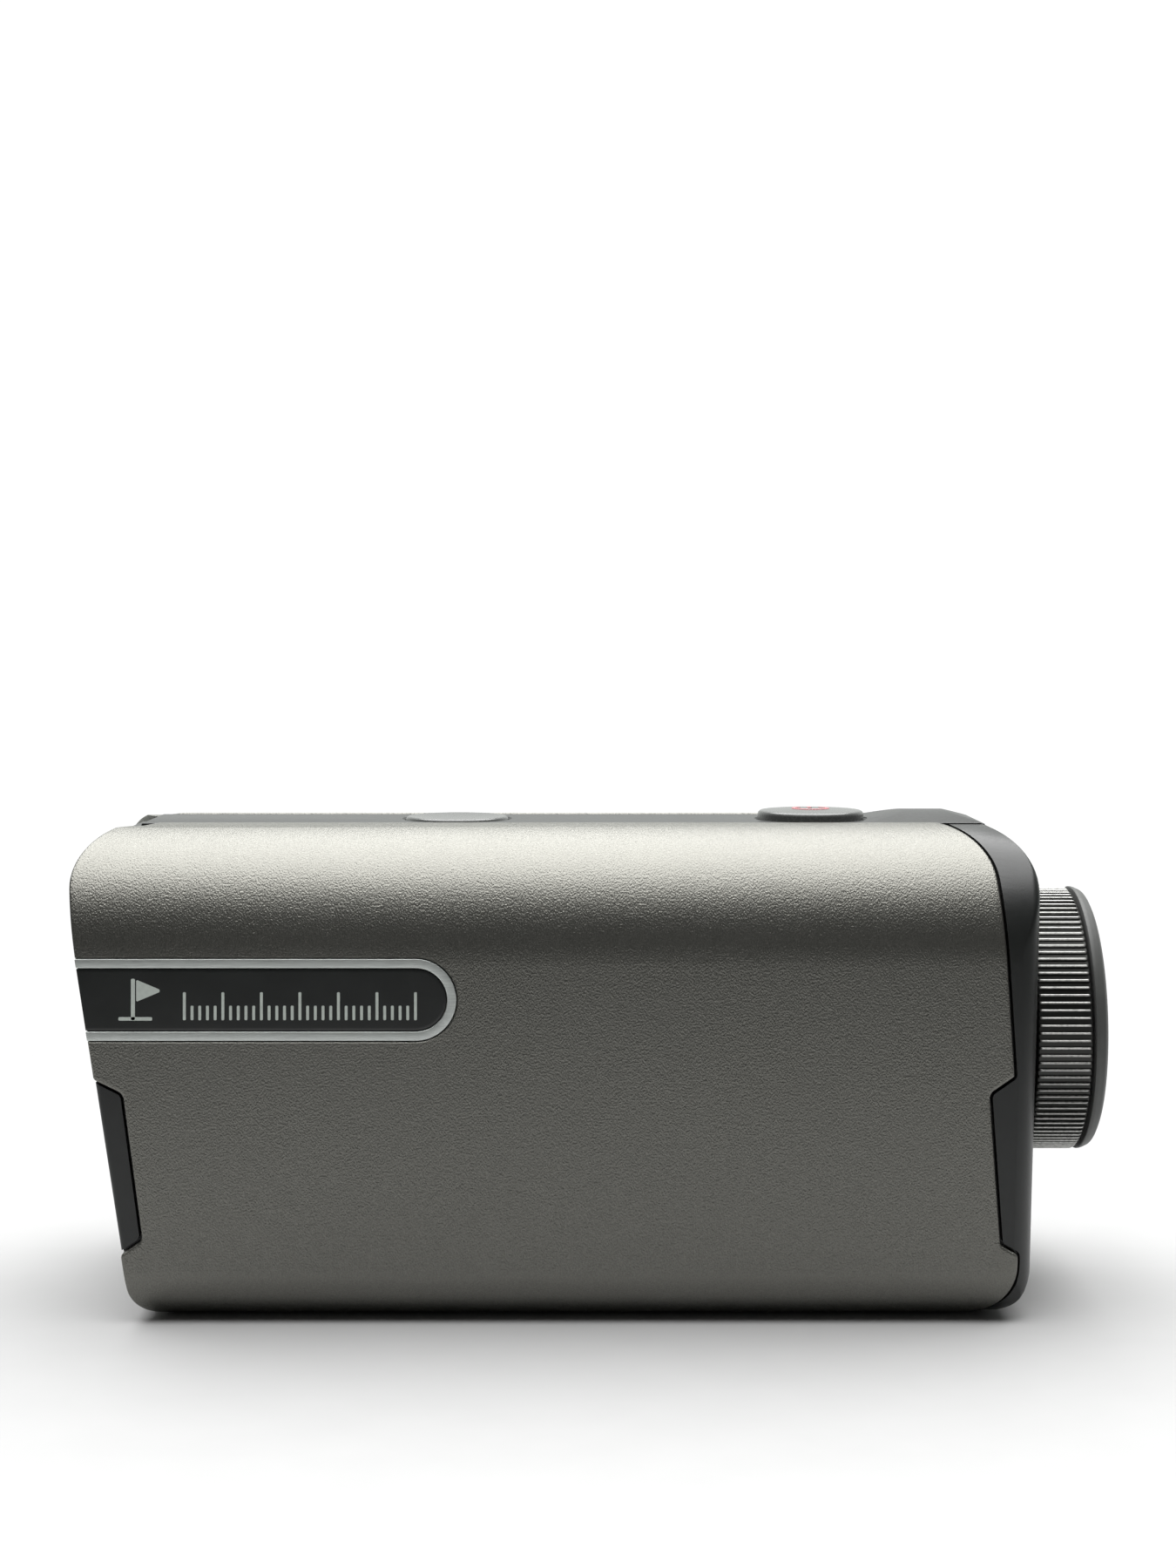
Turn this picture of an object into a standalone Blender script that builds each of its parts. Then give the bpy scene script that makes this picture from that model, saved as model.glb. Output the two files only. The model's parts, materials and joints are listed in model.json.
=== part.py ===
"""Golf laser rangefinder, built as an assembly of separate pieces, in metres.

Frame: +X runs along the optical axis from the objective to the eyepiece, +Z is up, and +Y is the side away
from the badge. The origin is the centre of the bottom of the object's bounding box.

A black chassis tube is closed by a front bezel and a rear frame. Two metallic side covers wrap round it
and leave a black top panel and a black base panel between them. The diopter ring turns on a fixed collar
and carries the eyecup, and a pin lets it slide the lens carrier along the axis.
"""

import math

import bmesh
import bpy
from mathutils import Vector

MM = 0.001

# The body's cross-section, which runs along X.
BODY_WIDTH = 40.0 * MM
BODY_HEIGHT = 51.2 * MM
TOP_RADIUS = 14.0 * MM
BOTTOM_RADIUS = 5.5 * MM
SMALLEST_RADIUS = 0.4 * MM
ARC_STEP = math.radians(13)

# How the walls nest, as insets from the body's outer surface.
GAP = 0.3 * MM
COVER_THICKNESS = 1.4 * MM
CORE_INSET = COVER_THICKNESS + GAP
CHASSIS_WALL = 1.6 * MM
INNER_INSET = CORE_INSET + CHASSIS_WALL
SPIGOT_INSET = INNER_INSET + GAP
SPIGOT_INNER_INSET = SPIGOT_INSET + 1.6 * MM
FRAME_INSET = 0.25 * MM
BEZEL_INSET = 0.35 * MM
BEYOND = 1.0 * MM  # how far a cutter reaches past the body's outer surface
FAR = 60.0 * MM  # longer than any part, for cutters that run right through

# The covers' outline in the side view. The front leans back towards the base.
COVER_TOP_EDGE = 6.9 * MM
COVER_BOTTOM_EDGE = 9.2 * MM
FRONT_TOP_X = -55.8 * MM
FRONT_LEAN = 0.1547
REAR_TOP_X = 42.3 * MM
REAR_LIP_X = 44.2 * MM
CREST_STEP_X = -48.4 * MM  # the covers are a little lower ahead of this
CREST_STEP = 0.44 * MM
NOTCH_TOP = 25.4 * MM
NOTCH_BOTTOM = 7.2 * MM
NOTCH_SLOPE = 1.5 * MM
NOTCH_DEPTH = 2.8 * MM
REAR_NOTCH_DEPTH = 2.4 * MM

# The ends of the body.
CHASSIS_FRONT = -44.4 * MM
CHASSIS_REAR = 40.0 * MM
SPIGOT_LENGTH = 3.5 * MM
BEZEL_RECESS = 0.05 * MM
BEZEL_BACK = -46.0 * MM
FRAME_FRONT = CHASSIS_REAR + GAP
FRAME_WALL_FRONT = 42.5 * MM
TONGUE_FRONT = 37.2 * MM  # at the top, the frame reaches forward to here beside the covers' rounded corners
FRAME_TOP_X = 47.3 * MM
FRAME_BOTTOM_X = 45.85 * MM
FRAME_TOP_RADIUS = 6.5 * MM
FRAME_BOTTOM_RADIUS = 5.8 * MM
FRAME_PLAN_RADIUS = 3.5 * MM

# Panels between the covers.
PANEL_HALF_WIDTH = COVER_TOP_EDGE - GAP
PANEL_TOP = BODY_HEIGHT - 0.15 * MM
PANEL_FRONT = -49.3 * MM
PANEL_SLOPE = 2.3 * MM
PANEL_REAR = 43.0 * MM
PLATEAU_TOP = BODY_HEIGHT + 0.9 * MM
PLATEAU = (35.4 * MM, 39.8 * MM)
PLATEAU_RAMP = 4.2 * MM
CROWN_DROP = 0.85 * MM  # how far the plateau falls away from its middle to its sides
BASE_HALF_WIDTH = COVER_BOTTOM_EDGE - GAP
BASE_FRONT = -47.0 * MM

# The badge let into the left cover.
BADGE_Z = 33.7 * MM
BADGE_HEIGHT = 8.7 * MM
BADGE_REAR = -14.0 * MM
BADGE_TRIM_WIDTH = 1.05 * MM
BADGE_DEPTH = 0.8 * MM
BADGE_GAP = 0.1 * MM

# Optical axes.
EYE_Z = 28.9 * MM
LASER_Z = 10.6 * MM

# Diopter ring and eyecup, all turned about the eyepiece axis.
RING_FRONT = 47.4 * MM
RING_REAR = 53.3 * MM
RING_RADIUS = 14.5 * MM
RING_ROOT = 14.1 * MM
RING_BORE = 12.3 * MM
RIB_COUNT = 112
PIN_X = 50.3 * MM
PIN_RADIUS = 0.6 * MM
CUP_FRONT = 53.5 * MM
CUP_REAR = 55.05 * MM

# Buttons: where each stands, its radius, and the height of its rim.
BUTTON_SEAT_Z = BODY_HEIGHT - 2.5 * MM
BUTTON_FLANGE_RADIUS = 6.6 * MM
BUTTON_CLEARANCE = 0.2 * MM
BUTTONS = {
    "mode": {"x": -15.1 * MM, "radius": 5.75 * MM, "height": 2.65 * MM, "dish": 0.35 * MM},
    "power": {"x": 24.5 * MM, "radius": 5.9 * MM, "height": 3.3 * MM, "dish": -0.2 * MM},
}
BUTTON_BOARD_TOP = 45.2 * MM
SWITCH_TOP = 47.6 * MM

# USB port, its flap, and the lanyard pin in the rear frame.
USB_Z = 8.6 * MM
FLAP_HALF_WIDTH = 7.0 * MM
FLAP_HEIGHT = 6.4 * MM
FLAP_FRONT = 45.0 * MM
FLAP_REAR = 46.0 * MM
USB_PORT_REAR = FLAP_FRONT - GAP - 0.1 * MM
LANYARD_X = 44.75 * MM
LANYARD_Y = 18.0 * MM
LANYARD_Z = 15.5 * MM
LANYARD_PIN_RADIUS = 0.6 * MM
LANYARD_SLOT = 8.0 * MM
LANYARD_SLOT_START = (43.0 * MM, 15.0 * MM)

# Screws.
SCREW_HEAD = (1.5 * MM, 0.75 * MM)
SCREW_SHANK = (0.75 * MM, 3.3 * MM)
SIDE_SCREW_X = 38.2 * MM
SIDE_SCREW_Z = (14.0 * MM, 34.0 * MM)
BASE_SCREWS_X = (-36.0 * MM, 32.4 * MM)
BASE_SCREW_Y = 6.0 * MM

# colour, roughness, metallic
FINISHES = {
    "cover_paint": ((0.30, 0.295, 0.275), 0.42, 0.85),
    "black_plastic": ((0.018, 0.020, 0.019), 0.50, 0.0),
    "badge_gloss": ((0.012, 0.013, 0.013), 0.12, 0.0),
    "badge_silver": ((0.35, 0.37, 0.36), 0.30, 0.9),
    "ring_metal": ((0.26, 0.26, 0.245), 0.38, 0.9),
    "rubber": ((0.03, 0.031, 0.03), 0.75, 0.0),
    "lens_glass": ((0.72, 0.85, 0.90), 0.03, 0.0),
    "anodised_black": ((0.02, 0.02, 0.022), 0.35, 0.6),
    "circuit_board": ((0.02, 0.12, 0.05), 0.45, 0.0),
    "plated_steel": ((0.62, 0.62, 0.60), 0.28, 1.0),
    "cell_wrap": ((0.12, 0.20, 0.42), 0.4, 0.0),
    "flex_film": ((0.55, 0.28, 0.06), 0.35, 0.0),
}


# ---------------------------------------------------------------- outlines


def arc(centre, radius, start, end):
    """Points along an arc between two angles in degrees, both ends included."""
    sweep = math.radians(end - start)
    steps = max(2, math.ceil(abs(sweep) / ARC_STEP))
    angles = [math.radians(start) + sweep * i / steps for i in range(steps + 1)]
    return [(centre[0] + radius * math.cos(a), centre[1] + radius * math.sin(a)) for a in angles]


def side_path(inset, top_reach=0.0, bottom_reach=0.0):
    """Points (y, z) down the +Y side of the cross-section, from y = top_reach round to y = bottom_reach."""
    side = BODY_WIDTH / 2 - inset
    top = BODY_HEIGHT - inset
    top_radius = max(TOP_RADIUS - inset, SMALLEST_RADIUS)
    low_radius = max(BOTTOM_RADIUS - inset, SMALLEST_RADIUS)
    top_centre = (side - top_radius, top - top_radius)
    start = 90.0
    if top_reach > top_centre[0]:
        start = math.degrees(math.acos((top_reach - top_centre[0]) / top_radius))
    path = arc(top_centre, top_radius, start, 0)
    path += arc((side - low_radius, inset + low_radius), low_radius, 0, -90)
    if 0 < bottom_reach < side - low_radius:
        path.append((bottom_reach, inset))
    return path


def section(inset):
    """The closed cross-section of the body, moved inwards by inset."""
    right = side_path(inset)
    return right + [(-y, z) for y, z in reversed(right)]


def cover_section(side, outer_inset, inner_inset, spread):
    """The C-shaped section of one cover. side is 1 for +Y, and spread widens its free edges."""
    edges = (COVER_TOP_EDGE - spread, COVER_BOTTOM_EDGE - spread)
    loop = side_path(outer_inset, *edges) + side_path(inner_inset, *edges)[::-1]
    return [(side * y, z) for y, z in loop]


def rounded(corners):
    """A closed outline from corners (u, v, radius), with an arc at each corner that has a radius."""
    points = []
    for i, (u, v, radius) in enumerate(corners):
        here = Vector((u, v))
        before = (Vector(corners[i - 1][:2]) - here).normalized()
        after = (Vector(corners[(i + 1) % len(corners)][:2]) - here).normalized()
        if radius <= 0:
            points.append((u, v))
            continue
        half = before.angle(after) / 2
        centre = here + (before + after).normalized() * radius / math.sin(half)
        first = here + before * radius / math.tan(half) - centre
        last = here + after * radius / math.tan(half) - centre
        start = math.degrees(math.atan2(first.y, first.x))
        end = math.degrees(math.atan2(last.y, last.x))
        sweep = (end - start + 180) % 360 - 180
        points += arc(centre, radius, start, start + sweep)
    return points


def grown(corners, distance):
    """The corners of an anticlockwise outline with every side moved outwards."""
    moved = []
    for i, (u, v, radius) in enumerate(corners):
        here = Vector((u, v))
        into = (here - Vector(corners[i - 1][:2])).normalized()
        out = (Vector(corners[(i + 1) % len(corners)][:2]) - here).normalized()
        first = Vector((into.y, -into.x))
        second = Vector((out.y, -out.x))
        place = here + (first + second) * distance / (1 + first.dot(second))
        convex = into.cross(out) > 0
        new_radius = radius + distance if convex else max(radius - distance, 0)
        moved.append((place.x, place.y, new_radius if radius > 0 else 0))
    return moved


def front_x(z, recess=0.0):
    """X of the body's leaning front at height z."""
    return FRONT_TOP_X + FRONT_LEAN * (BODY_HEIGHT - z) + recess


def cover_corners():
    """The side view of a cover, anticlockwise from its top front corner, as (x, z, radius)."""
    notch_x = front_x(NOTCH_TOP - NOTCH_SLOPE) + NOTCH_DEPTH
    low_notch_x = front_x(NOTCH_BOTTOM + NOTCH_SLOPE) + NOTCH_DEPTH - 0.3 * MM
    rear_shoulder = REAR_LIP_X - 0.3 * MM
    return [
        (front_x(BODY_HEIGHT), BODY_HEIGHT, 6.0 * MM),
        (front_x(NOTCH_TOP), NOTCH_TOP, 0.5 * MM),
        (notch_x, NOTCH_TOP - NOTCH_SLOPE, 1.0 * MM),
        (low_notch_x, NOTCH_BOTTOM + NOTCH_SLOPE, 1.0 * MM),
        (front_x(NOTCH_BOTTOM), NOTCH_BOTTOM, 0.6 * MM),
        (front_x(0), 0, 4.0 * MM),
        (REAR_LIP_X, 0, 6.3 * MM),
        (REAR_LIP_X, NOTCH_BOTTOM, 0.6 * MM),
        (REAR_LIP_X - REAR_NOTCH_DEPTH + 0.6 * MM, NOTCH_BOTTOM + NOTCH_SLOPE - 0.5 * MM, 0.8 * MM),
        (REAR_LIP_X - REAR_NOTCH_DEPTH - 0.5 * MM, NOTCH_TOP - NOTCH_SLOPE, 1.0 * MM),
        (rear_shoulder, NOTCH_TOP + 0.3 * MM, 0.4 * MM),
        (REAR_TOP_X, BODY_HEIGHT, 5.5 * MM),
    ]


def frame_corners():
    """The side view of the rear frame, anticlockwise, as (x, z, radius)."""
    front = CHASSIS_REAR - SPIGOT_LENGTH
    return [
        (front, 0, 0),
        (FRAME_BOTTOM_X, 0, FRAME_BOTTOM_RADIUS),
        (FRAME_TOP_X, BODY_HEIGHT, FRAME_TOP_RADIUS),
        (front, BODY_HEIGHT, 0),
    ]


def badge_outline(inset, reach=0.0):
    """The badge in the side view: its rear is a half circle, and its front is reach ahead of the body's front."""
    half = BADGE_HEIGHT / 2 - inset
    centre_x = BADGE_REAR - BADGE_HEIGHT / 2
    round_end = arc((centre_x, BADGE_Z), half, -90, 90)
    front = [(front_x(BADGE_Z + s * half, -reach), BADGE_Z + s * half) for s in (1, -1)]
    return round_end + front


def rectangle(low_u, high_u, low_v, high_v):
    return [(low_u, low_v), (high_u, low_v), (high_u, high_v), (low_u, high_v)]


# ---------------------------------------------------------------- solids


def extrusion(outline, axis, low, high):
    """A bmesh of an outline extruded from low to high along axis. The outline holds the other two axes."""
    place = {
        "X": lambda u, v: (low, u, v),
        "Y": lambda u, v: (u, low, v),
        "Z": lambda u, v: (u, v, low),
    }[axis]
    along = Vector([(high - low) * (axis == name) for name in "XYZ"])
    bm = bmesh.new()
    face = bm.faces.new([bm.verts.new(place(u, v)) for u, v in outline])
    grown_part = bmesh.ops.extrude_face_region(bm, geom=[face])
    new_verts = [e for e in grown_part["geom"] if isinstance(e, bmesh.types.BMVert)]
    bmesh.ops.translate(bm, verts=new_verts, vec=along)
    bmesh.ops.recalc_face_normals(bm, faces=bm.faces)
    return bm


def turned(profile, segments=32):
    """A bmesh turned about the X axis from a closed profile of (x, radius). A radius of 0 is on the axis."""
    bm = bmesh.new()
    rings = []
    for x, radius in profile:
        count = 1 if radius == 0 else segments
        turns = [math.tau * i / segments for i in range(count)]
        rings.append([bm.verts.new((x, radius * math.cos(a), radius * math.sin(a))) for a in turns])
    for first, second in zip(rings, rings[1:] + rings[:1]):
        if len(first) == len(second) == 1:
            continue
        for i in range(segments):
            j = (i + 1) % segments
            loop = [first[i % len(first)], first[j % len(first)], second[j % len(second)], second[i % len(second)]]
            bm.faces.new(list(dict.fromkeys(loop)))
    bmesh.ops.recalc_face_normals(bm, faces=bm.faces)
    return bm


def lens(front, back, radius, front_sag, back_sag, steps=4):
    """The profile of a lens between its two vertices, with parabolic faces."""
    shares = [i / steps for i in range(steps + 1)]
    face_a = [(front + front_sag * s * s, radius * s) for s in shares]
    face_b = [(back - back_sag * s * s, radius * s) for s in reversed(shares)]
    return face_a + face_b


def finish_mesh(name, bm, smooth):
    mesh = bpy.data.meshes.new(name)
    bm.to_mesh(mesh)
    bm.free()
    if smooth:
        mesh.shade_smooth()
        mesh.set_sharp_from_angle(angle=math.radians(35))
    return mesh


def material(name):
    found = bpy.data.materials.get(name)
    if found:
        return found
    colour, roughness, metallic = FINISHES[name]
    made = bpy.data.materials.new(name)
    made.use_nodes = True
    shader = made.node_tree.nodes["Principled BSDF"]
    shader.inputs["Base Color"].default_value = (*colour, 1)
    shader.inputs["Roughness"].default_value = roughness
    shader.inputs["Metallic"].default_value = metallic
    made.diffuse_color = (*colour, 1)
    return made


TURN_TO = {
    "X": (0, 0, 0),
    "Y": (0, 0, math.pi / 2),
    "-Y": (0, 0, -math.pi / 2),
    "Z": (0, -math.pi / 2, 0),
    "-Z": (0, math.pi / 2, 0),
}


def place(obj, at, axis, parent):
    obj.location = at
    obj.rotation_euler = TURN_TO[axis]
    if parent:
        obj.parent = parent
    bpy.context.scene.collection.objects.link(obj)
    return obj


def piece(name, bm, finish, at=(0, 0, 0), axis="X", parent=None, smooth=True):
    """A named sub-part. Its local +X is turned to axis."""
    mesh = finish_mesh(name, bm, smooth)
    mesh.materials.append(material(finish))
    return place(bpy.data.objects.new(name, mesh), at, axis, parent)


def guide(name, bm, at=(0, 0, 0), axis="X"):
    """A cutter or other helper, which isn't part of the object."""
    obj = place(bpy.data.objects.new(name, finish_mesh(name, bm, False)), at, axis, None)
    obj.hide_render = True
    obj.display_type = "WIRE"
    return obj


def boolean(target, other, operation):
    modifier = target.modifiers.new(f"{operation.lower()}_{other.name}", "BOOLEAN")
    modifier.operation = operation
    modifier.object = other
    modifier.solver = "EXACT"


def cut(target, *others):
    for other in others:
        boolean(target, other, "DIFFERENCE")


def keep(target, *others):
    for other in others:
        boolean(target, other, "INTERSECT")


def block(x, y, z):
    """A bmesh box between pairs of limits."""
    return extrusion(rectangle(*y, *z), "X", *x)


def drill(name, radius, low, high, at, axis="X", segments=32):
    """A round cutter from low to high along axis."""
    return guide(name, turned([(low, 0), (low, radius), (high, radius), (high, 0)], segments), at, axis)


def empty(name, at):
    obj = bpy.data.objects.new(name, None)
    obj.empty_display_size = 5 * MM
    return place(obj, at, "X", None)


# ---------------------------------------------------------------- casing


def cover_solid(side, spread=0.0):
    """One cover's section and side outline. With a spread it is the space that its neighbours leave for it."""
    outer = -BEYOND if spread else 0.0
    bm = extrusion(cover_section(side, outer, COVER_THICKNESS + spread, spread), "X", -FAR, FAR)
    outline = rounded(grown(cover_corners(), spread))
    return bm, extrusion(outline, "Y", *sorted((side * FAR, 0)))


def cover_spaces():
    """Cutters that clear the space of both covers."""
    spaces = []
    for side, word in ((-1, "left"), (1, "right")):
        bm, outline = cover_solid(side, GAP)
        space = guide(f"{word}_cover_space", bm)
        keep(space, guide(f"{word}_cover_space_outline", outline))
        spaces.append(space)
    return spaces


def make_covers():
    for side, word in ((-1, "left"), (1, "right")):
        bm, outline = cover_solid(side)
        cover = piece(f"{word}_cover", bm, "cover_paint")
        keep(cover, guide(f"{word}_cover_outline", outline))
        step = block((-FAR, CREST_STEP_X), (-FAR, FAR), (BODY_HEIGHT - CREST_STEP, FAR))
        cut(cover, guide(f"{word}_crest_step", step))
        if side < 0:
            depth = (-BODY_WIDTH / 2 - BEYOND, -BODY_WIDTH / 2 + BADGE_DEPTH)
            cut(cover, guide("badge_pocket", extrusion(badge_outline(0, BEYOND), "Y", *depth)))


def make_badge():
    """The silver trim and the black plate, flush with the cover's side."""
    outer = -BODY_WIDTH / 2
    inner = outer + BADGE_DEPTH - BADGE_GAP
    trim = piece("badge_trim", extrusion(badge_outline(BADGE_GAP), "Y", outer, inner), "badge_silver")
    window = badge_outline(BADGE_TRIM_WIDTH, BEYOND)
    cut(trim, guide("badge_window", extrusion(window, "Y", outer - BEYOND, inner + BEYOND)))
    plate = badge_outline(BADGE_TRIM_WIDTH + BADGE_GAP)
    piece("badge_plate", extrusion(plate, "Y", outer + BADGE_GAP, inner), "badge_gloss")


def make_chassis():
    """The black tube that everything is built on, with a slot under the buttons and its screw holes."""
    tube = piece("chassis", extrusion(section(CORE_INSET), "X", CHASSIS_FRONT, CHASSIS_REAR), "black_plastic")
    cut(tube, guide("chassis_bore", extrusion(section(INNER_INSET), "X", -FAR, FAR)))
    slot_z = (BODY_HEIGHT - 6 * MM, BODY_HEIGHT)
    cut(tube, guide("button_slot", block((-25 * MM, 35 * MM), (-7.1 * MM, 7.1 * MM), slot_z)))
    cut(tube, *screw_holes("chassis"))


def make_front_bezel(spaces):
    """The leaning black front. Its sides fill the covers' front notches."""
    bm = extrusion(section(BEZEL_INSET), "X", -FAR, CHASSIS_FRONT + SPIGOT_LENGTH)
    bezel = piece("front_bezel", bm, "black_plastic")
    back = CHASSIS_FRONT + SPIGOT_LENGTH
    side_view = [
        (front_x(BODY_HEIGHT, BEZEL_RECESS), BODY_HEIGHT, 6.3 * MM),
        (front_x(0, BEZEL_RECESS), 0, 4.2 * MM),
        (back + BEYOND, 0, 0),
        (back + BEYOND, BODY_HEIGHT, 0),
    ]
    keep(bezel, guide("bezel_outline", extrusion(rounded(side_view), "Y", -FAR, FAR)))
    cut(bezel, *spaces)
    for word, low, high, half in (
        ("top", BODY_HEIGHT - CORE_INSET, FAR, COVER_TOP_EDGE + GAP),
        ("base", -FAR, CORE_INSET, COVER_BOTTOM_EDGE + GAP),
    ):
        cut(bezel, guide(f"bezel_{word}_step", block((-FAR, 0), (-half, half), (low, high))))
    sleeve = guide("bezel_sleeve", extrusion(section(-2 * BEYOND), "X", CHASSIS_FRONT - GAP, 0))
    cut(sleeve, guide("bezel_spigot", extrusion(section(SPIGOT_INSET), "X", -FAR, FAR)))
    cavity = guide("bezel_cavity", extrusion(section(SPIGOT_INNER_INSET), "X", BEZEL_BACK, 0))
    cut(bezel, sleeve, cavity)
    cut(bezel, drill("objective_bore", 12.0 * MM, -FAR, 0, (0, 0, EYE_Z), segments=40))
    cut(bezel, drill("laser_bore", 5.3 * MM, -FAR, 0, (0, 0, LASER_Z)))


def make_rear_frame(spaces):
    """The black rear frame: collar bore, USB recess and lanyard slot."""
    bm = extrusion(section(FRAME_INSET), "X", CHASSIS_REAR - SPIGOT_LENGTH, FAR)
    frame = piece("rear_frame", bm, "black_plastic")
    half = BODY_WIDTH / 2
    plan = [
        (CHASSIS_REAR - SPIGOT_LENGTH - BEYOND, -half, 0),
        (FRAME_TOP_X, -half, FRAME_PLAN_RADIUS),
        (FRAME_TOP_X, half, FRAME_PLAN_RADIUS),
        (CHASSIS_REAR - SPIGOT_LENGTH - BEYOND, half, 0),
    ]
    keep(frame, guide("frame_side_view", extrusion(rounded(frame_corners()), "Y", -FAR, FAR)))
    keep(frame, guide("frame_plan_view", extrusion(rounded(plan), "Z", -FAR, FAR)))
    cut(frame, *spaces)
    pocket = block((0, PANEL_REAR + GAP), (-COVER_TOP_EDGE, COVER_TOP_EDGE), (BODY_HEIGHT - CORE_INSET, FAR))
    cut(frame, guide("panel_pocket", pocket))
    sleeve = guide("frame_sleeve", extrusion(section(-2 * BEYOND), "X", 0, FRAME_FRONT))
    cut(sleeve, guide("frame_spigot", extrusion(section(SPIGOT_INSET), "X", -FAR, FAR)))
    tongue = guide("frame_tongue", block((TONGUE_FRONT, FAR), (-FAR, FAR), (BODY_HEIGHT - TOP_RADIUS, FAR)))
    cut(tongue, guide("tongue_floor", extrusion(section(COVER_THICKNESS), "X", -FAR, FAR)))
    cut(sleeve, tongue)
    cavity = guide("frame_cavity", extrusion(section(SPIGOT_INNER_INSET), "X", 0, FRAME_WALL_FRONT))
    cut(frame, sleeve, cavity)
    cut(frame, drill("collar_bore", 12.2 * MM, 0, FAR, (0, 0, EYE_Z), segments=40))
    low, high = USB_Z - 1.9 * MM, USB_Z + 1.9 * MM
    cut(frame, guide("usb_opening", block((0, FAR), (-4.9 * MM, 4.9 * MM), (low, high))))
    recess_y = FLAP_HALF_WIDTH + GAP
    recess_z = FLAP_HEIGHT / 2 + GAP
    recess = block((FLAP_FRONT - GAP, FAR), (-recess_y, recess_y), (USB_Z - recess_z, USB_Z + recess_z))
    cut(frame, guide("flap_recess", recess))
    slot_z = (LANYARD_Z - LANYARD_SLOT / 2, LANYARD_Z + LANYARD_SLOT / 2)
    slot_x, slot_y = LANYARD_SLOT_START
    cut(frame, guide("lanyard_slot", block((slot_x, FAR), (slot_y, FAR), slot_z)))
    reach = LANYARD_SLOT / 2 + 1.3 * MM
    pin_hole = LANYARD_PIN_RADIUS + 0.25 * MM
    cut(frame, drill("lanyard_hole", pin_hole, -reach, reach, (LANYARD_X, LANYARD_Y, LANYARD_Z), "Z", 12))
    cut(frame, *screw_holes("rear_frame"))


def make_panels():
    """The top panel, which steps up to a plateau at the rear, and the base panel with its screw holes."""
    low = BODY_HEIGHT - COVER_THICKNESS
    side_view = [
        (PANEL_FRONT, low),
        (PANEL_REAR, low),
        (PANEL_REAR, PANEL_TOP - 0.1 * MM),
        (PLATEAU[1] + 1.0 * MM, PLATEAU_TOP - 0.1 * MM),
        (PLATEAU[1], PLATEAU_TOP),
        (PLATEAU[0], PLATEAU_TOP),
        (PLATEAU[0] - PLATEAU_RAMP, PANEL_TOP),
        (PANEL_FRONT + PANEL_SLOPE, PANEL_TOP),
        (PANEL_FRONT, low + 0.2 * MM),
    ]
    top = piece("top_panel", extrusion(side_view, "Y", -PANEL_HALF_WIDTH, PANEL_HALF_WIDTH), "black_plastic")
    shares = [i / 6 for i in range(-6, 7)]
    crown = [(s * (PANEL_HALF_WIDTH + GAP), PLATEAU_TOP - CROWN_DROP * s * s) for s in shares]
    crown += [(PANEL_HALF_WIDTH + GAP, 0), (-PANEL_HALF_WIDTH - GAP, 0)]
    keep(top, guide("panel_crown", extrusion(crown, "X", -FAR, FAR)))
    for word, button in BUTTONS.items():
        radius = button["radius"] + BUTTON_CLEARANCE
        cut(top, drill(f"{word}_button_hole", radius, 0, FAR, (button["x"], 0, 0), "Z"))
    outline = rounded([(x, y, 2 * MM) for x, y in rectangle(
        BASE_FRONT, CHASSIS_REAR, -BASE_HALF_WIDTH, BASE_HALF_WIDTH)])
    base = piece("base_panel", extrusion(outline, "Z", 0, COVER_THICKNESS), "black_plastic")
    cut(base, *screw_holes("base_panel"))


# ---------------------------------------------------------------- fasteners


def side_screws():
    """(side, z) of each screw that holds the rear frame in the chassis, under the covers."""
    return [(side, z) for side in (-1, 1) for z in SIDE_SCREW_Z]


def base_screws():
    return [(x, side * BASE_SCREW_Y) for x in BASE_SCREWS_X for side in (-1, 1)]


def screw_holes(word):
    """Stepped cutters for one part's screw holes: a through hole and, at the head, a counterbore."""
    clearance = 0.3 * MM
    through = SCREW_SHANK[0] + clearance
    seat = SCREW_HEAD[0] + clearance
    holes = []
    if word in ("chassis", "rear_frame"):
        outer = BODY_WIDTH / 2 - CORE_INSET
        for i, (side, z) in enumerate(side_screws()):
            axis = "Y" if side > 0 else "-Y"
            at = (SIDE_SCREW_X, 0, z)
            steps = [(0, 0), (0, through), (outer - 1.2 * MM, through), (outer - 1.2 * MM, seat)]
            profile = steps + [(outer + BEYOND, seat), (outer + BEYOND, 0)]
            holes.append(guide(f"{word}_side_hole_{i}", turned(profile, 12), at, axis))
    if word in ("chassis", "base_panel"):
        for i, (x, y) in enumerate(base_screws()):
            steps = [(-BEYOND, 0), (-BEYOND, seat), (1.0 * MM, seat), (1.0 * MM, through)]
            profile = steps + [(5 * MM, through), (5 * MM, 0)]
            holes.append(guide(f"{word}_base_hole_{i}", turned(profile, 12), (x, y, 0), "Z"))
    return holes


def screw_mesh():
    """A pan-head screw along -X, its head's face at the origin, with a cross recess's cone in the head."""
    head_radius, head = SCREW_HEAD
    radius, length = SCREW_SHANK
    return turned(
        [
            (-0.35 * MM, 0),
            (0, 0.7 * MM),
            (0, head_radius - 0.2 * MM),
            (-0.2 * MM, head_radius),
            (-head, head_radius),
            (-head, radius),
            (-length + 0.4 * MM, radius),
            (-length, 0.3 * MM),
            (-length, 0),
        ],
        12,
    )


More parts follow.
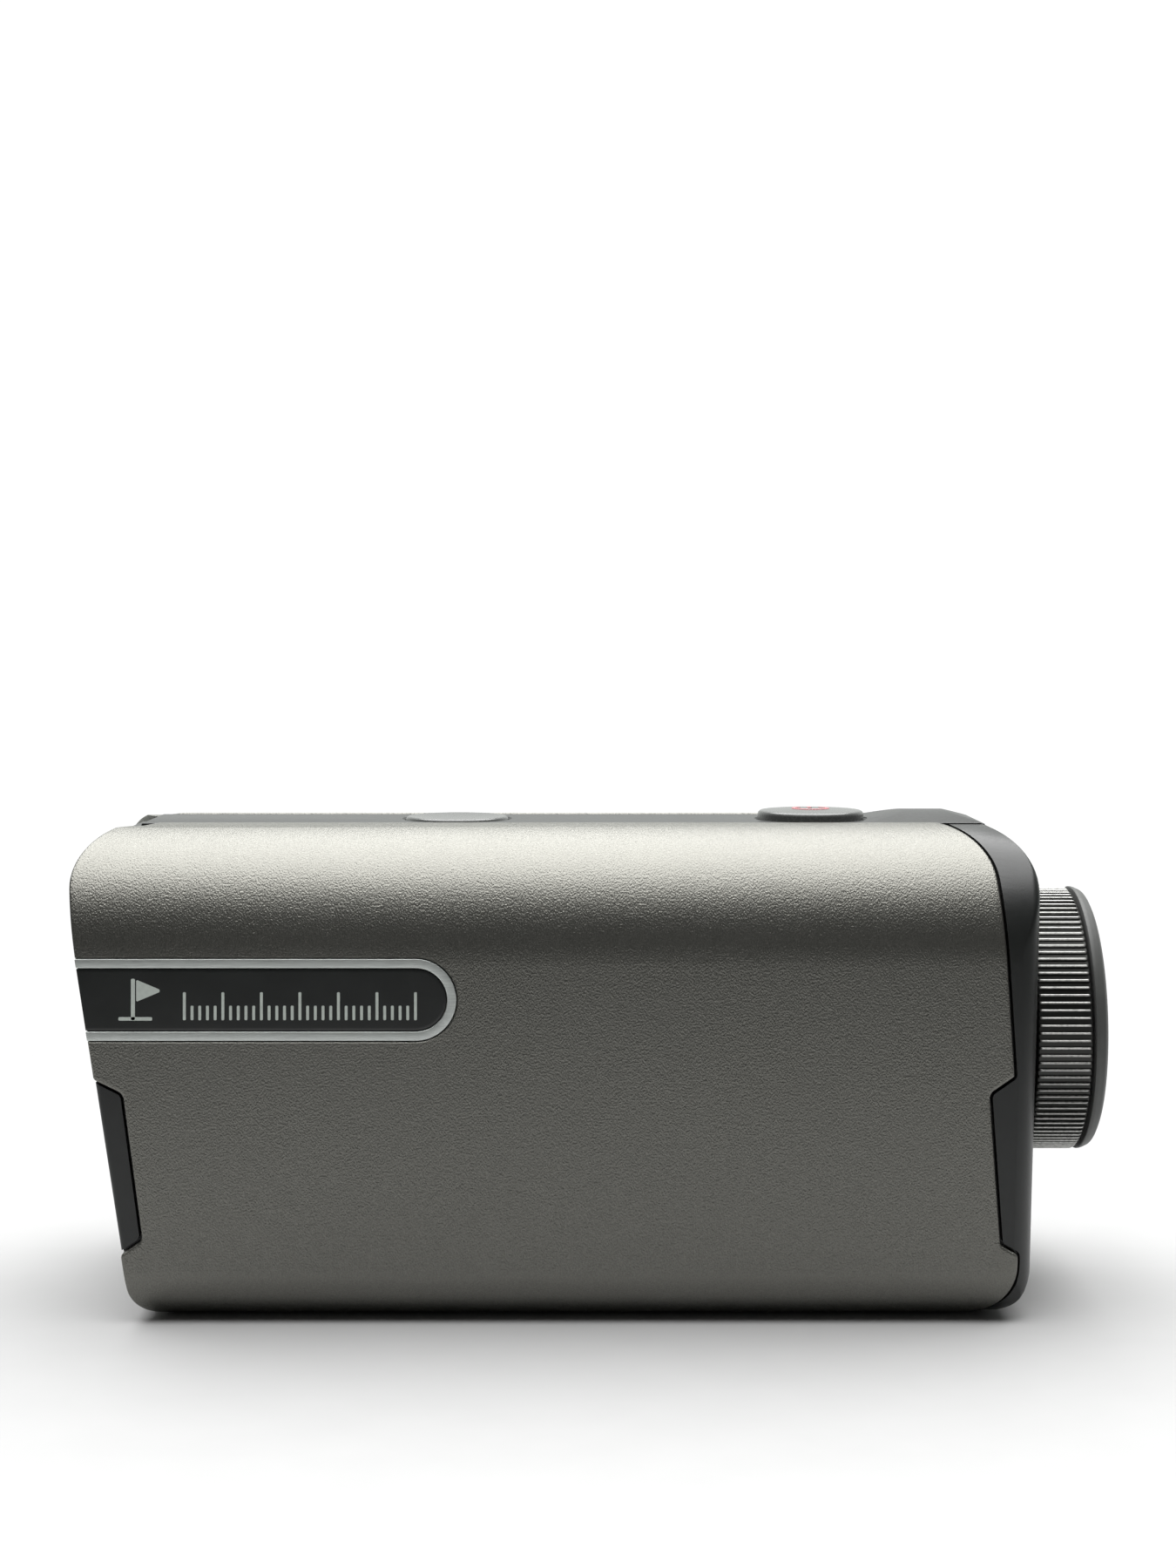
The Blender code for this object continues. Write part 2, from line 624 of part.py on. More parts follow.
def make_screws():
    shared = finish_mesh("screw", screw_mesh(), True)
    shared.materials.append(material("plated_steel"))
    outer = BODY_WIDTH / 2 - CORE_INSET - 0.2 * MM
    for i, (side, z) in enumerate(side_screws(), 1):
        screw = bpy.data.objects.new(f"rear_frame_screw_{i}", shared)
        place(screw, (SIDE_SCREW_X, side * outer, z), "Y" if side > 0 else "-Y", None)
    for i, (x, y) in enumerate(base_screws(), 1):
        screw = bpy.data.objects.new(f"base_screw_{i}", shared)
        place(screw, (x, y, 0.15 * MM), "-Z", None)


# ---------------------------------------------------------------- objective and laser


def make_objective():
    at = (0, 0, EYE_Z)
    barrel = [(-48.0, 10.6), (-48.0, 11.7), (-31.0, 11.7), (-31.0, 10.2), (-42.8, 10.2), (-42.8, 9.6),
              (-43.8, 9.6), (-43.8, 10.6)]
    piece("objective_barrel", turned(in_mm(barrel)), "anodised_black", at)
    glass = lens(-47.8 * MM, -44.1 * MM, 10.35 * MM, 1.3 * MM, 0.3 * MM)
    piece("objective_lens", turned(glass), "lens_glass", at)
    retainer = [(-49.3, 10.0), (-49.3, 11.7), (-48.3, 11.7), (-48.3, 9.7)]
    piece("objective_retainer", turned(in_mm(retainer)), "anodised_black", at)


def make_laser():
    at = (0, 0, LASER_Z)
    barrel = [(-46.6, 4.0), (-46.6, 5.0), (-24.0, 5.0), (-24.0, 4.0)]
    piece("laser_barrel", turned(in_mm(barrel), 24), "anodised_black", at)
    piece("laser_lens", turned(lens(-46.3 * MM, -43.8 * MM, 3.75 * MM, 0.5 * MM, 0.1 * MM), 24), "lens_glass", at)
    retainer = [(-47.7, 3.5), (-47.7, 5.0), (-46.9, 5.0), (-46.9, 3.3)]
    piece("laser_retainer", turned(in_mm(retainer), 24), "anodised_black", at)
    diode = [(-28.2, 0), (-28.2, 2.3), (-25.2, 2.3), (-25.2, 3.6), (-24.2, 3.6), (-24.2, 0)]
    piece("laser_diode", turned(in_mm(diode), 20), "plated_steel", at)
    board = block((-23.7 * MM, -22.5 * MM), (-8 * MM, 8 * MM), (4.6 * MM, 16 * MM))
    piece("laser_board", board, "circuit_board", smooth=False)


def in_mm(points):
    return [tuple(value * MM for value in point) for point in points]


# ---------------------------------------------------------------- prisms, receiver and display


def make_prisms():
    """An open-sided housing on the chassis wall, with the two prisms of the erecting pair inside it."""
    low, high = EYE_Z - 11.5 * MM, EYE_Z + 12.2 * MM
    plan = in_mm([(-9, -11), (19.5, -11), (19.5, 11), (10, 11), (10, 16.4), (5, 16.4), (5, 11), (-9, 11)])
    housing = piece("prism_housing", extrusion(plan, "Z", low, high), "anodised_black", smooth=False)
    keep(housing, guide("prism_housing_limit", extrusion(section(SPIGOT_INSET), "X", -FAR, FAR)))
    room = block((-7.5 * MM, 18 * MM), (-FAR, 9.5 * MM), (low + 1.5 * MM, high - 1.5 * MM))
    cut(housing, guide("prism_room", room))
    cut(housing, drill("light_path", 8 * MM, -20 * MM, 30 * MM, (0, 0, EYE_Z), segments=24))
    z = EYE_Z / MM
    first = in_mm([(-7.0, z - 9), (7.0, z - 9), (-0.8, z + 9), (-7.0, z + 9)])
    piece("prism_front", extrusion(first, "Y", -8.5 * MM, 8.5 * MM), "lens_glass", smooth=False)
    second = in_mm([(8.0, z - 8.6), (17.4, z - 1), (17.4, z + 9), (0.3, z + 9)])
    roof = piece("prism_rear", extrusion(second, "Y", -8.5 * MM, 8.5 * MM), "lens_glass", smooth=False)
    for side, word in ((-1, "left"), (1, "right")):
        wedge = [(side * 9 * MM, z * MM + 4.5 * MM), (side * 9 * MM, FAR), (side * 1.2 * MM, FAR),
                 (side * 1.2 * MM, z * MM + 10.5 * MM)]
        cut(roof, guide(f"roof_facet_{word}", extrusion(wedge, "X", -FAR, FAR)))
    can = [(11.5, 0), (11.5, 3.2), (14.2, 3.2), (14.2, 4.2), (15.4, 4.2), (15.4, 0)]
    piece("receiver_module", turned(in_mm(can), 20), "plated_steel", (-2 * MM, 0, EYE_Z), "Y")


def make_display():
    """The glass reticle display at the image plane, and the frame that holds it."""
    glass_z = (EYE_Z - 6 * MM, EYE_Z + 6 * MM)
    glass = block((21.8 * MM, 22.9 * MM), (-7.5 * MM, 7.5 * MM), glass_z)
    piece("display_glass", glass, "lens_glass", smooth=False)
    frame = block((23.2 * MM, 25.6 * MM), (-11 * MM, 11 * MM), (EYE_Z - 11 * MM, EYE_Z + 11 * MM))
    holder = piece("display_frame", frame, "anodised_black", smooth=False)
    cut(holder, drill("display_window", 6.5 * MM, 20 * MM, 30 * MM, (0, 0, EYE_Z), segments=24))


# ---------------------------------------------------------------- eyepiece


def make_collar():
    """The fixed tube that the diopter ring turns on, its seal, and the slot for the carrier's pin."""
    at = (0, 0, EYE_Z)
    profile = [(30.0, 10.3), (30.0, 12.0), (41.0, 12.0), (41.0, 13.4), (42.3, 13.4), (42.3, 12.0),
               (44.0, 12.0), (44.0, 11.2), (45.4, 11.2), (45.4, 12.0), (52.6, 12.0), (52.6, 10.3)]
    collar = piece("eyepiece_collar", turned(in_mm(profile), 40), "anodised_black", at)
    slot = block((48.0 * MM, FAR), (-0.9 * MM, 0.9 * MM), (EYE_Z + 9 * MM, EYE_Z + 14 * MM))
    cut(collar, guide("pin_slot", slot))
    seal = [(44.2, 11.4), (44.2, 12.1), (45.2, 12.1), (45.2, 11.4)]
    piece("collar_seal", turned(in_mm(seal), 40), "rubber", at)


def make_lens_carrier(axis):
    """The sliding tube with the eyepiece's two lenses, their spacer and retainer, and the driving pin."""
    tube = [(31.0, 7.6), (31.0, 10.1), (51.2, 10.1), (51.2, 8.8), (32.2, 8.8), (32.2, 7.6)]
    carrier = piece("lens_carrier", turned(in_mm(tube), 40), "anodised_black", parent=axis)
    hole = drill("pin_hole", PIN_RADIUS + 0.2 * MM, 8 * MM, 14 * MM, (PIN_X, 0, EYE_Z), "Z", 12)
    cut(carrier, hole)
    field = lens(32.5 * MM, 36.2 * MM, 8.6 * MM, 0.1 * MM, 1.2 * MM)
    piece("field_lens", turned(field), "lens_glass", parent=axis)
    spacer = [(36.4, 7.9), (35.3, 8.6), (43.9, 8.6), (43.9, 7.9)]
    piece("lens_spacer", turned(in_mm(spacer)), "anodised_black", parent=axis)
    piece("eye_lens", turned(lens(43.6 * MM, 48.6 * MM, 8.6 * MM, 0.6 * MM, 1.5 * MM)), "lens_glass", parent=axis)
    retainer = [(47.6, 7.7), (47.6, 8.6), (49.4, 8.6), (49.4, 8.1)]
    piece("eye_lens_retainer", turned(in_mm(retainer)), "anodised_black", parent=axis)
    pin = [(9.0 * MM, 0), (9.0 * MM, PIN_RADIUS), (13.1 * MM, PIN_RADIUS), (13.1 * MM, 0)]
    piece("carrier_pin", turned(pin, 12), "plated_steel", (PIN_X, 0, 0), "Z", axis)


def ribbed_outline():
    """The diopter ring's outline in the YZ plane: a tip and a root for each rib."""
    points = []
    for i in range(RIB_COUNT):
        for share, radius in ((0.0, RING_RADIUS), (0.5, RING_ROOT)):
            turn = math.tau * (i + share) / RIB_COUNT
            points.append((radius * math.cos(turn), radius * math.sin(turn)))
    return points


def make_diopter_ring(axis):
    """The ribbed ring and the rubber eyecup that turns with it."""
    ring = piece("diopter_ring", extrusion(ribbed_outline(), "X", RING_FRONT, RING_REAR), "ring_metal", parent=axis)
    groove_radius = 13.4 * MM
    groove = (PIN_X - 2 * MM, PIN_X + 2 * MM)
    bore = [(0, 0), (0, RING_BORE), (groove[0], RING_BORE), (groove[0], groove_radius),
            (groove[1], groove_radius), (groove[1], RING_BORE), (FAR, RING_BORE), (FAR, 0)]
    cut(ring, guide("ring_bore", turned(bore, 40), (0, 0, EYE_Z)))
    front, rear = CUP_FRONT / MM, CUP_REAR / MM
    cup = [(front, 14.5), (rear - 0.8, 14.45), (rear - 0.25, 14.1), (rear, 13.5), (rear, 12.9),
           (rear - 0.3, 12.3), (rear - 1.0, 10.9), (front - 0.1, 10.4), (front - 0.5, 10.6),
           (front - 0.5, 12.1), (front, 12.1)]
    piece("eyecup", turned(in_mm(cup), 48), "rubber", parent=axis)


# ---------------------------------------------------------------- buttons and boards


def make_buttons():
    """Each cap on its own slide, with the switch below it on the button board."""
    board_z = (BUTTON_BOARD_TOP - 1 * MM, BUTTON_BOARD_TOP)
    board = block((-22 * MM, 32 * MM), (-6.5 * MM, 6.5 * MM), board_z)
    piece("button_board", board, "circuit_board", smooth=False)
    for word, button in BUTTONS.items():
        slide = empty(f"{word}_button_slide", (button["x"], 0, BUTTON_SEAT_Z))
        radius, height, dish = button["radius"], button["height"], button["dish"]
        edge = 0.35 * MM
        cap = [(0, 0), (0, BUTTON_FLANGE_RADIUS), (0.8 * MM, BUTTON_FLANGE_RADIUS), (0.8 * MM, radius),
               (height - edge, radius), (height, radius - edge), (height, radius - 3 * edge),
               (height - dish, radius * 0.5), (height - dish * 1.1, 0)]
        piece(f"{word}_button", turned(cap), "rubber", axis="Z", parent=slide)
        plunger = [(-2.3 * MM, 0), (-2.3 * MM, 1.6 * MM), (-0.1 * MM, 1.6 * MM), (-0.1 * MM, 0)]
        piece(f"{word}_plunger", turned(plunger, 16), "black_plastic", axis="Z", parent=slide)
        half = 3 * MM
        x = (button["x"] - half, button["x"] + half)
        switch = block(x, (-half, half), (BUTTON_BOARD_TOP + 0.1 * MM, SWITCH_TOP))
        body = piece(f"{word}_switch", switch, "plated_steel", smooth=False)
        depth = (BUTTON_BOARD_TOP + 0.5 * MM, FAR)
        cut(body, drill(f"{word}_switch_hole", 1.9 * MM, *depth, (button["x"], 0, 0), "Z", 16))


def make_boards():
    """The main board with its shield can, and the flex film up to the button board."""
    y = (-14.6 * MM, -13.4 * MM)
    board = block((-32 * MM, 36 * MM), y, (7.5 * MM, 42.5 * MM))
    piece("main_board", board, "circuit_board", smooth=False)
    can = block((-28 * MM, -12 * MM), (-13.2 * MM, -11.6 * MM), (18 * MM, 38 * MM))
    piece("processor_shield", can, "plated_steel", smooth=False)
    film = in_mm([(-6.8, 44.3), (-6.8, 44.6), (-12.2, 44.6), (-13.0, 43.8), (-13.0, 38.4), (-12.7, 38.4),
                  (-12.7, 43.7), (-12.1, 44.3)])
    piece("board_ribbon", extrusion(film, "X", -6 * MM, 6 * MM), "flex_film", smooth=False)


# ---------------------------------------------------------------- power and magnets


def make_power():
    """The flat lithium cell on its foam pad, and the USB port on its own board."""
    outline = rounded([(y, z, 1.5 * MM) for y, z in rectangle(-12.8 * MM, 12.8 * MM, 4.3 * MM, 14.2 * MM)])
    piece("battery", extrusion(outline, "X", -14 * MM, 30 * MM), "cell_wrap")
    pad = block((-12 * MM, 28 * MM), (-11 * MM, 11 * MM), (3.5 * MM, 4.1 * MM))
    piece("battery_pad", pad, "rubber", smooth=False)
    low = USB_Z - 1.6 * MM
    board = block((34.5 * MM, FRAME_WALL_FRONT - GAP), (-7.5 * MM, 7.5 * MM), (low - 1.1 * MM, low - 0.2 * MM))
    piece("usb_board", board, "circuit_board", smooth=False)
    half = (4.47 * MM, 1.6 * MM)
    wall = 0.3 * MM
    shell = pill(half)
    port = piece("usb_port", extrusion(shell, "X", 38.0 * MM, USB_PORT_REAR), "plated_steel")
    mouth = guide("usb_mouth", extrusion(pill((half[0] - wall, half[1] - wall)), "X", 38.6 * MM, FAR))
    tongue = block((0, USB_PORT_REAR - 1.7 * MM), (-3.3 * MM, 3.3 * MM), (USB_Z - 0.35 * MM, USB_Z + 0.35 * MM))
    cut(mouth, guide("usb_tongue", tongue))
    cut(port, mouth)


def pill(half):
    """A slot with round ends about the USB port's axis, in the YZ plane."""
    width, height = half
    straight = width - height
    return arc((straight, USB_Z), height, -90, 90) + arc((-straight, USB_Z), height, 90, 270)


def make_usb_flap():
    """The rubber flap on its hinge line at the recess's +Y end, with the plug that fills the port's mouth."""
    hinge = empty("usb_flap_hinge", (FLAP_REAR, FLAP_HALF_WIDTH, USB_Z))
    half = FLAP_HEIGHT / 2
    thickness = FLAP_REAR - FLAP_FRONT
    corners = [(y, z, 1.2 * MM) for y, z in rectangle(-2 * FLAP_HALF_WIDTH, 0, -half, half)]
    flap = piece("usb_flap", extrusion(rounded(corners), "X", -thickness, 0), "rubber", parent=hinge)
    plug_y = (-FLAP_HALF_WIDTH - 3.6 * MM, -FLAP_HALF_WIDTH + 3.6 * MM)
    plug = guide("flap_plug", block((-2.6 * MM, -0.5 * MM), plug_y, (-1.0 * MM, 1.0 * MM)), hinge.location)
    boolean(flap, plug, "UNION")


def make_magnets():
    """Two disc magnets behind the right wall, which hold the object to a golf cart's steel frame."""
    disc = turned(in_mm([(13.9, 0), (13.9, 5.0), (16.4, 5.0), (16.4, 0)]), 24)
    shared = finish_mesh("magnet", disc, True)
    shared.materials.append(material("plated_steel"))
    for word, x in (("front", -22 * MM), ("rear", 24 * MM)):
        place(bpy.data.objects.new(f"magnet_{word}", shared), (x, 0, EYE_Z), "Y", None)


def make_lanyard_pin():
    reach = LANYARD_SLOT / 2 + 1.0 * MM
    pin = [(-reach, 0), (-reach, LANYARD_PIN_RADIUS), (reach, LANYARD_PIN_RADIUS), (reach, 0)]
    piece("lanyard_pin", turned(pin, 12), "plated_steel", (LANYARD_X, LANYARD_Y, LANYARD_Z), "Z")


def main():
    for obj in list(bpy.data.objects):
        bpy.data.objects.remove(obj)
    spaces = cover_spaces()
    make_chassis()
    make_front_bezel(spaces)
    make_rear_frame(spaces)
    make_panels()
    make_covers()
    make_badge()
    make_screws()
    make_objective()
    make_laser()
    make_prisms()
    make_display()
    make_collar()
    eyepiece_axis = empty("eyepiece_axis", (0, 0, EYE_Z))
    make_lens_carrier(eyepiece_axis)
    make_diopter_ring(eyepiece_axis)
    make_buttons()
    make_boards()
    make_power()
    make_usb_flap()
    make_magnets()
    make_lanyard_pin()


main()
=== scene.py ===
"""The golf laser rangefinder's looks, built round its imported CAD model. Lengths are in metres.

Frame: +X runs to the eyepiece, +Z is up and -Y is the side with the badge. Each visible CAD node is replaced
by a finer piece of the same size, and the nodes inside keep their shape and get a better material.
"""

import json
import math

import bmesh
import bpy
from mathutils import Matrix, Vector


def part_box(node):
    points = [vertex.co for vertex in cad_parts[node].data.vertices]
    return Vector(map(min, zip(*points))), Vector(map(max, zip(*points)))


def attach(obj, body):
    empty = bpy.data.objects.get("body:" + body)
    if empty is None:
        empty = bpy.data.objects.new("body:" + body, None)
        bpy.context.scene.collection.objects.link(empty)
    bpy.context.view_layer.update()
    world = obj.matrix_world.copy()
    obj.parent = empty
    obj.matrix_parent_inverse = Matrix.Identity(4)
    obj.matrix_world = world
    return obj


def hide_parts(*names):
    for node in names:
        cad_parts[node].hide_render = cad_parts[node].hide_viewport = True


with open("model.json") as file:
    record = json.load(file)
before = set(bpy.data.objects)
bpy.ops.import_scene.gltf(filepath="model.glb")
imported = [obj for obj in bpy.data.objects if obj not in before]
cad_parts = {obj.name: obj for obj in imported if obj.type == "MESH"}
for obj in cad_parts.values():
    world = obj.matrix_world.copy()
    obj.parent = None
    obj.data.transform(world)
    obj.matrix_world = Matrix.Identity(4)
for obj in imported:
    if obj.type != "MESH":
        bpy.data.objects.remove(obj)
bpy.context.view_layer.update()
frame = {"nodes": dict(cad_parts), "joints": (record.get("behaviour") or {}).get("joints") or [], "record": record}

MM = 0.001
NODES = frame["nodes"]
EYE_Z = frame["joints"][0]["pos_m"][2]
LASER_Z = sum(corner.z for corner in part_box("laser_barrel")) / 2

# The body's cross-section and how the walls nest, as insets from its outer surface.
BODY_WIDTH = 40.0 * MM
BODY_HEIGHT = 51.2 * MM
TOP_RADIUS = 14.0 * MM
BOTTOM_RADIUS = 5.5 * MM
LEAST_RADIUS = 0.4 * MM
GAP = 0.3 * MM
COVER_THICKNESS = 1.4 * MM
CORE_INSET = COVER_THICKNESS + GAP
FRAME_INSET = 0.25 * MM
BEZEL_INSET = 0.35 * MM
REACH = 1.0 * MM  # how far a cutter stands outside the surface that it cuts
BEYOND = 60 * MM  # past either end of the body
WITHIN = 30 * MM  # inside the body, past what is cut at either end
RIM = 0.28 * MM  # radius on the covers' edges
SHARPEST = 0.01 * MM  # a rounded corner keeps this radius however far its outline is moved in
ARC_STEP = math.radians(5)
CORNER_STEPS = 8  # on the corners of an outline that changes along its solid

# The covers' outline in the side view.
COVER_TOP_EDGE = 6.9 * MM
COVER_BOTTOM_EDGE = 9.2 * MM
FRONT_TOP_X = -55.8 * MM
FRONT_LEAN = 0.1547
REAR_TOP_X = 42.3 * MM
REAR_LIP_X = 44.2 * MM
CREST_STEP_X = -48.4 * MM
CREST_STEP = 0.44 * MM
NOTCH_TOP = 25.4 * MM
NOTCH_BOTTOM = 7.2 * MM
NOTCH_SLOPE = 1.5 * MM
NOTCH_DEPTH = 2.8 * MM
REAR_NOTCH_DEPTH = 2.4 * MM

# The black ends.
BEZEL_RECESS = 0.05 * MM
BEZEL_BACK = -46.0 * MM
OBJECTIVE_WINDOW = (12.0 * MM, 0.9 * MM)  # radius and chamfer
LASER_WINDOW = (5.3 * MM, 0.6 * MM)
FRAME_FRONT = 40.3 * MM
TONGUE_FRONT = 37.2 * MM  # front of the frame's tongue between the covers
FLAP_THICKNESS = 1.0 * MM
FRAME_TOP_X = 47.3 * MM
FRAME_BOTTOM_X = 45.85 * MM

# The badge.
BADGE_Z = 33.7 * MM
BADGE_HEIGHT = 8.7 * MM
BADGE_REAR = -14.0 * MM
BADGE_TRIM_WIDTH = 1.05 * MM
BADGE_DEPTH = 0.8 * MM
BADGE_GAP = 0.1 * MM
INK = 0.03 * MM  # thickness of the printed marks

# The buttons: their radii, how far the middle of the top stands over its rim, and the bend of the rim.
BUTTONS = {"mode": (5.75 * MM, -0.35 * MM), "power": (5.9 * MM, 0.2 * MM)}
BUTTON_BEND = 0.45 * MM
BUTTON_GAP = 0.2 * MM

# Diopter ring.
RING_CREST = 14.5 * MM
RING_BORE = 12.35 * MM
RIB_COUNT = 112
RIB_STEPS = (0.0, 0.30, 0.36, 0.43, 0.5, 0.57, 0.64, 0.70)
RIB_HEIGHT = 0.30 * MM
RIB_TAPER = (0, 0.03 * MM, 0.08 * MM, 0.17 * MM, 0.3 * MM)  # where a rib's rounded end has points

# The studio.
FLOOR_RADIUS = 170 * MM
FRONT_GLOW = 0.062
REAR_GLOW = 0.9
CAMERA_LENS = 55.3  # in the camera's own millimetres, for a sensor 36 wide
CAMERA_AT = (-0.43 * MM, -270 * MM, 71.5 * MM)
CAMERA_SHIFT = -0.0944444  # of the picture's longer side


# ---------------- outlines


def arc(centre, radius, start, end, steps=0):
    """Points along an arc between two angles in degrees, both ends included."""
    sweep = math.radians(end - start)
    steps = steps or max(3, math.ceil(abs(sweep) / ARC_STEP))
    angles = [math.radians(start) + sweep * i / steps for i in range(steps + 1)]
    return [(centre[0] + radius * math.cos(a), centre[1] + radius * math.sin(a)) for a in angles]


def rounded(corners, steps=0):
    """A closed outline from corners (u, v, radius), with an arc at each corner that has a radius."""
    points = []
    for i, (u, v, radius) in enumerate(corners):
        here = Vector((u, v))
        before = (Vector(corners[i - 1][:2]) - here).normalized()
        after = (Vector(corners[(i + 1) % len(corners)][:2]) - here).normalized()
        if radius <= 0:
            points.append((u, v))
            continue
        half = before.angle(after) / 2
        centre = here + (before + after).normalized() * radius / math.sin(half)
        first = here + before * radius / math.tan(half) - centre
        last = here + after * radius / math.tan(half) - centre
        start = math.degrees(math.atan2(first.y, first.x))
        end = math.degrees(math.atan2(last.y, last.x))
        sweep = (end - start + 180) % 360 - 180
        points += arc(centre, radius, start, start + sweep, steps)
    return points


def grown(corners, distance):
    """The corners of an anticlockwise outline with every side moved outwards."""
    moved = []
    for i, (u, v, radius) in enumerate(corners):
        here = Vector((u, v))
        into = (here - Vector(corners[i - 1][:2])).normalized()
        out = (Vector(corners[(i + 1) % len(corners)][:2]) - here).normalized()
        first = Vector((into.y, -into.x))
        second = Vector((out.y, -out.x))
        place = here + (first + second) * distance / (1 + first.dot(second))
        convex = into.cross(out) > 0
        new_radius = max(radius + distance * (1 if convex else -1), SHARPEST)
        moved.append((place.x, place.y, new_radius if radius > 0 else 0))
    return moved


def shrinking(corners):
    """A function that gives the rounded outline at any inset, always with the same number of points."""
    return lambda inset: rounded(grown(corners, -inset), CORNER_STEPS)


def rectangle(low_u, high_u, low_v, high_v, radius=0.0):
    return [(u, v, radius) for u, v in ((low_u, low_v), (high_u, low_v), (high_u, high_v), (low_u, high_v))]


def shares(count, first=0.0, last=1.0):
    return [first + (last - first) * i / count for i in range(count + 1)]


def quarter(steps):
    """Angles of a quarter turn, both ends included."""
    return shares(steps, 0, math.pi / 2)


def front_x(z, recess=0.0):
    """X of the body's leaning front at height z."""
    return FRONT_TOP_X + FRONT_LEAN * (BODY_HEIGHT - z) + recess


def rear_x(z):
    """X of the rear frame's leaning end face at height z."""
    return FRAME_BOTTOM_X + (FRAME_TOP_X - FRAME_BOTTOM_X) * z / BODY_HEIGHT


def cover_front():
    """The front of a cover's side view, from the top down to the base, as (x, z, radius)."""
    notch_x = front_x(NOTCH_TOP - NOTCH_SLOPE) + NOTCH_DEPTH
    low_notch_x = front_x(NOTCH_BOTTOM + NOTCH_SLOPE) + NOTCH_DEPTH - 0.3 * MM
    return [
        (front_x(BODY_HEIGHT), BODY_HEIGHT, 5.3 * MM),
        (front_x(NOTCH_TOP), NOTCH_TOP, 0.5 * MM),
        (notch_x, NOTCH_TOP - NOTCH_SLOPE, 1.0 * MM),
        (low_notch_x, NOTCH_BOTTOM + NOTCH_SLOPE, 1.0 * MM),
        (front_x(NOTCH_BOTTOM), NOTCH_BOTTOM, 0.6 * MM),
        (front_x(0), 0, 4.0 * MM),
    ]


def cover_rear():
    """The rear of a cover's side view, from the base up to the top."""
    return [
        (REAR_LIP_X, 0, 6.3 * MM),
        (REAR_LIP_X, NOTCH_BOTTOM, 0.6 * MM),
        (REAR_LIP_X - REAR_NOTCH_DEPTH + 0.6 * MM, NOTCH_BOTTOM + NOTCH_SLOPE - 0.5 * MM, 0.8 * MM),
        (REAR_LIP_X - REAR_NOTCH_DEPTH - 0.5 * MM, NOTCH_TOP - NOTCH_SLOPE, 1.0 * MM),
        (REAR_LIP_X - 0.3 * MM, NOTCH_TOP + 0.3 * MM, 0.4 * MM),
        (REAR_TOP_X, BODY_HEIGHT, 5.5 * MM),
    ]


def badge_outline(inset, reach=0.0):
    """The badge in the side view. Its rear is a half circle, and its front is reach ahead of the body's."""
    half = BADGE_HEIGHT / 2 - inset
    round_end = arc((BADGE_REAR - BADGE_HEIGHT / 2, BADGE_Z), half, -90, 90)
    return round_end + [(front_x(BADGE_Z + s * half, -reach), BADGE_Z + s * half) for s in (1, -1)]


# ---------------- the body's cross-section


def station(kind, share, inset):
    """A point (y, z) of the +Y half of the cross-section. share runs from 0 to 1 down each stretch."""
    side = BODY_WIDTH / 2 - inset
    top = BODY_HEIGHT - inset
    high = max(TOP_RADIUS - inset, LEAST_RADIUS)
    low = max(BOTTOM_RADIUS - inset, LEAST_RADIUS)
    if kind == "top":
        return share * (side - high), top
    if kind == "shoulder":
        angle = math.pi / 2 * (1 - share)
        return side - high + high * math.cos(angle), top - high + high * math.sin(angle)
    if kind == "side":
        start = top - high
        return side, start + (inset + low - start) * share
    if kind == "foot":
        angle = -math.pi / 2 * share
        return side - low + low * math.cos(angle), inset + low + low * math.sin(angle)
    return (1 - share) * (side - low), inset


def perimeter():
    """Stations round the whole cross-section, from the middle of the top down +Y and up the other side."""
    counts = {"top": 3, "shoulder": 26, "side": 12, "foot": 14, "bottom": 4}
    half = [(kind, share) for kind, count in counts.items() for share in shares(count)[:-1]]
    half.append(("bottom", 1.0))
    return [(kind, share, 1) for kind, share in half] + [(kind, share, -1) for kind, share in half[-2:0:-1]]


def section(inset):
    """The whole cross-section as a closed outline (y, z)."""
    points = [(side, station(kind, share, inset)) for kind, share, side in perimeter()]
    return [(side * y, z) for side, (y, z) in points]


# ---------------- meshes


def place(name, data):
    obj = bpy.data.objects.new(name, data)
    bpy.context.scene.collection.objects.link(obj)
    return obj


def add_object(name, bm):
    """A mesh object of a closed bmesh, with its faces pointing out."""
    bmesh.ops.recalc_face_normals(bm, faces=bm.faces)
    mesh = bpy.data.meshes.new(name)
    bm.to_mesh(mesh)
    bm.free()
    return place(name, mesh)


def skin(loops, closed_ends=True):
    """A bmesh that joins closed loops of equal length with quads, and caps the first and the last."""
    bm = bmesh.new()
    rows = [[bm.verts.new(p) for p in loop] for loop in loops]
    for upper, lower in zip(rows, rows[1:]):
        for i in range(len(upper)):
            j = (i + 1) % len(upper)
            bm.faces.new([upper[i], upper[j], lower[j], lower[i]])
    if closed_ends:
        bm.faces.new(rows[0])
        bm.faces.new(rows[-1])
    return bm


def stack(outline, levels, axis):
    """A solid from an outline function, at (depth, inset) levels along axis."""
    turn = {
        "X": lambda u, v, d: (d, u, v),
        "Y": lambda u, v, d: (u, d, v),
        "Z": lambda u, v, d: (u, v, d),
    }[axis]
    return skin([[turn(u, v, depth) for u, v in outline(inset)] for depth, inset in levels])


def prism(outline, start, end, axis="X"):
    """A straight solid of one outline."""
    return stack(lambda inset: outline, [(start, 0), (end, 0)], axis)


def trim(target, corners, start, end, axis="X", steps=CORNER_STEPS):
    """Cuts a straight hole, slot or end off a mesh object."""
    cut(target, prism(rounded(corners, steps), start, end, axis))


def edge(depth, inward, radius, steps=4):
    """Levels that round the edge at depth. inward is the sign of the way into the solid."""
    return [(depth + inward * radius * (1 - math.sin(a)), radius * (1 - math.cos(a))) for a in quarter(steps)]


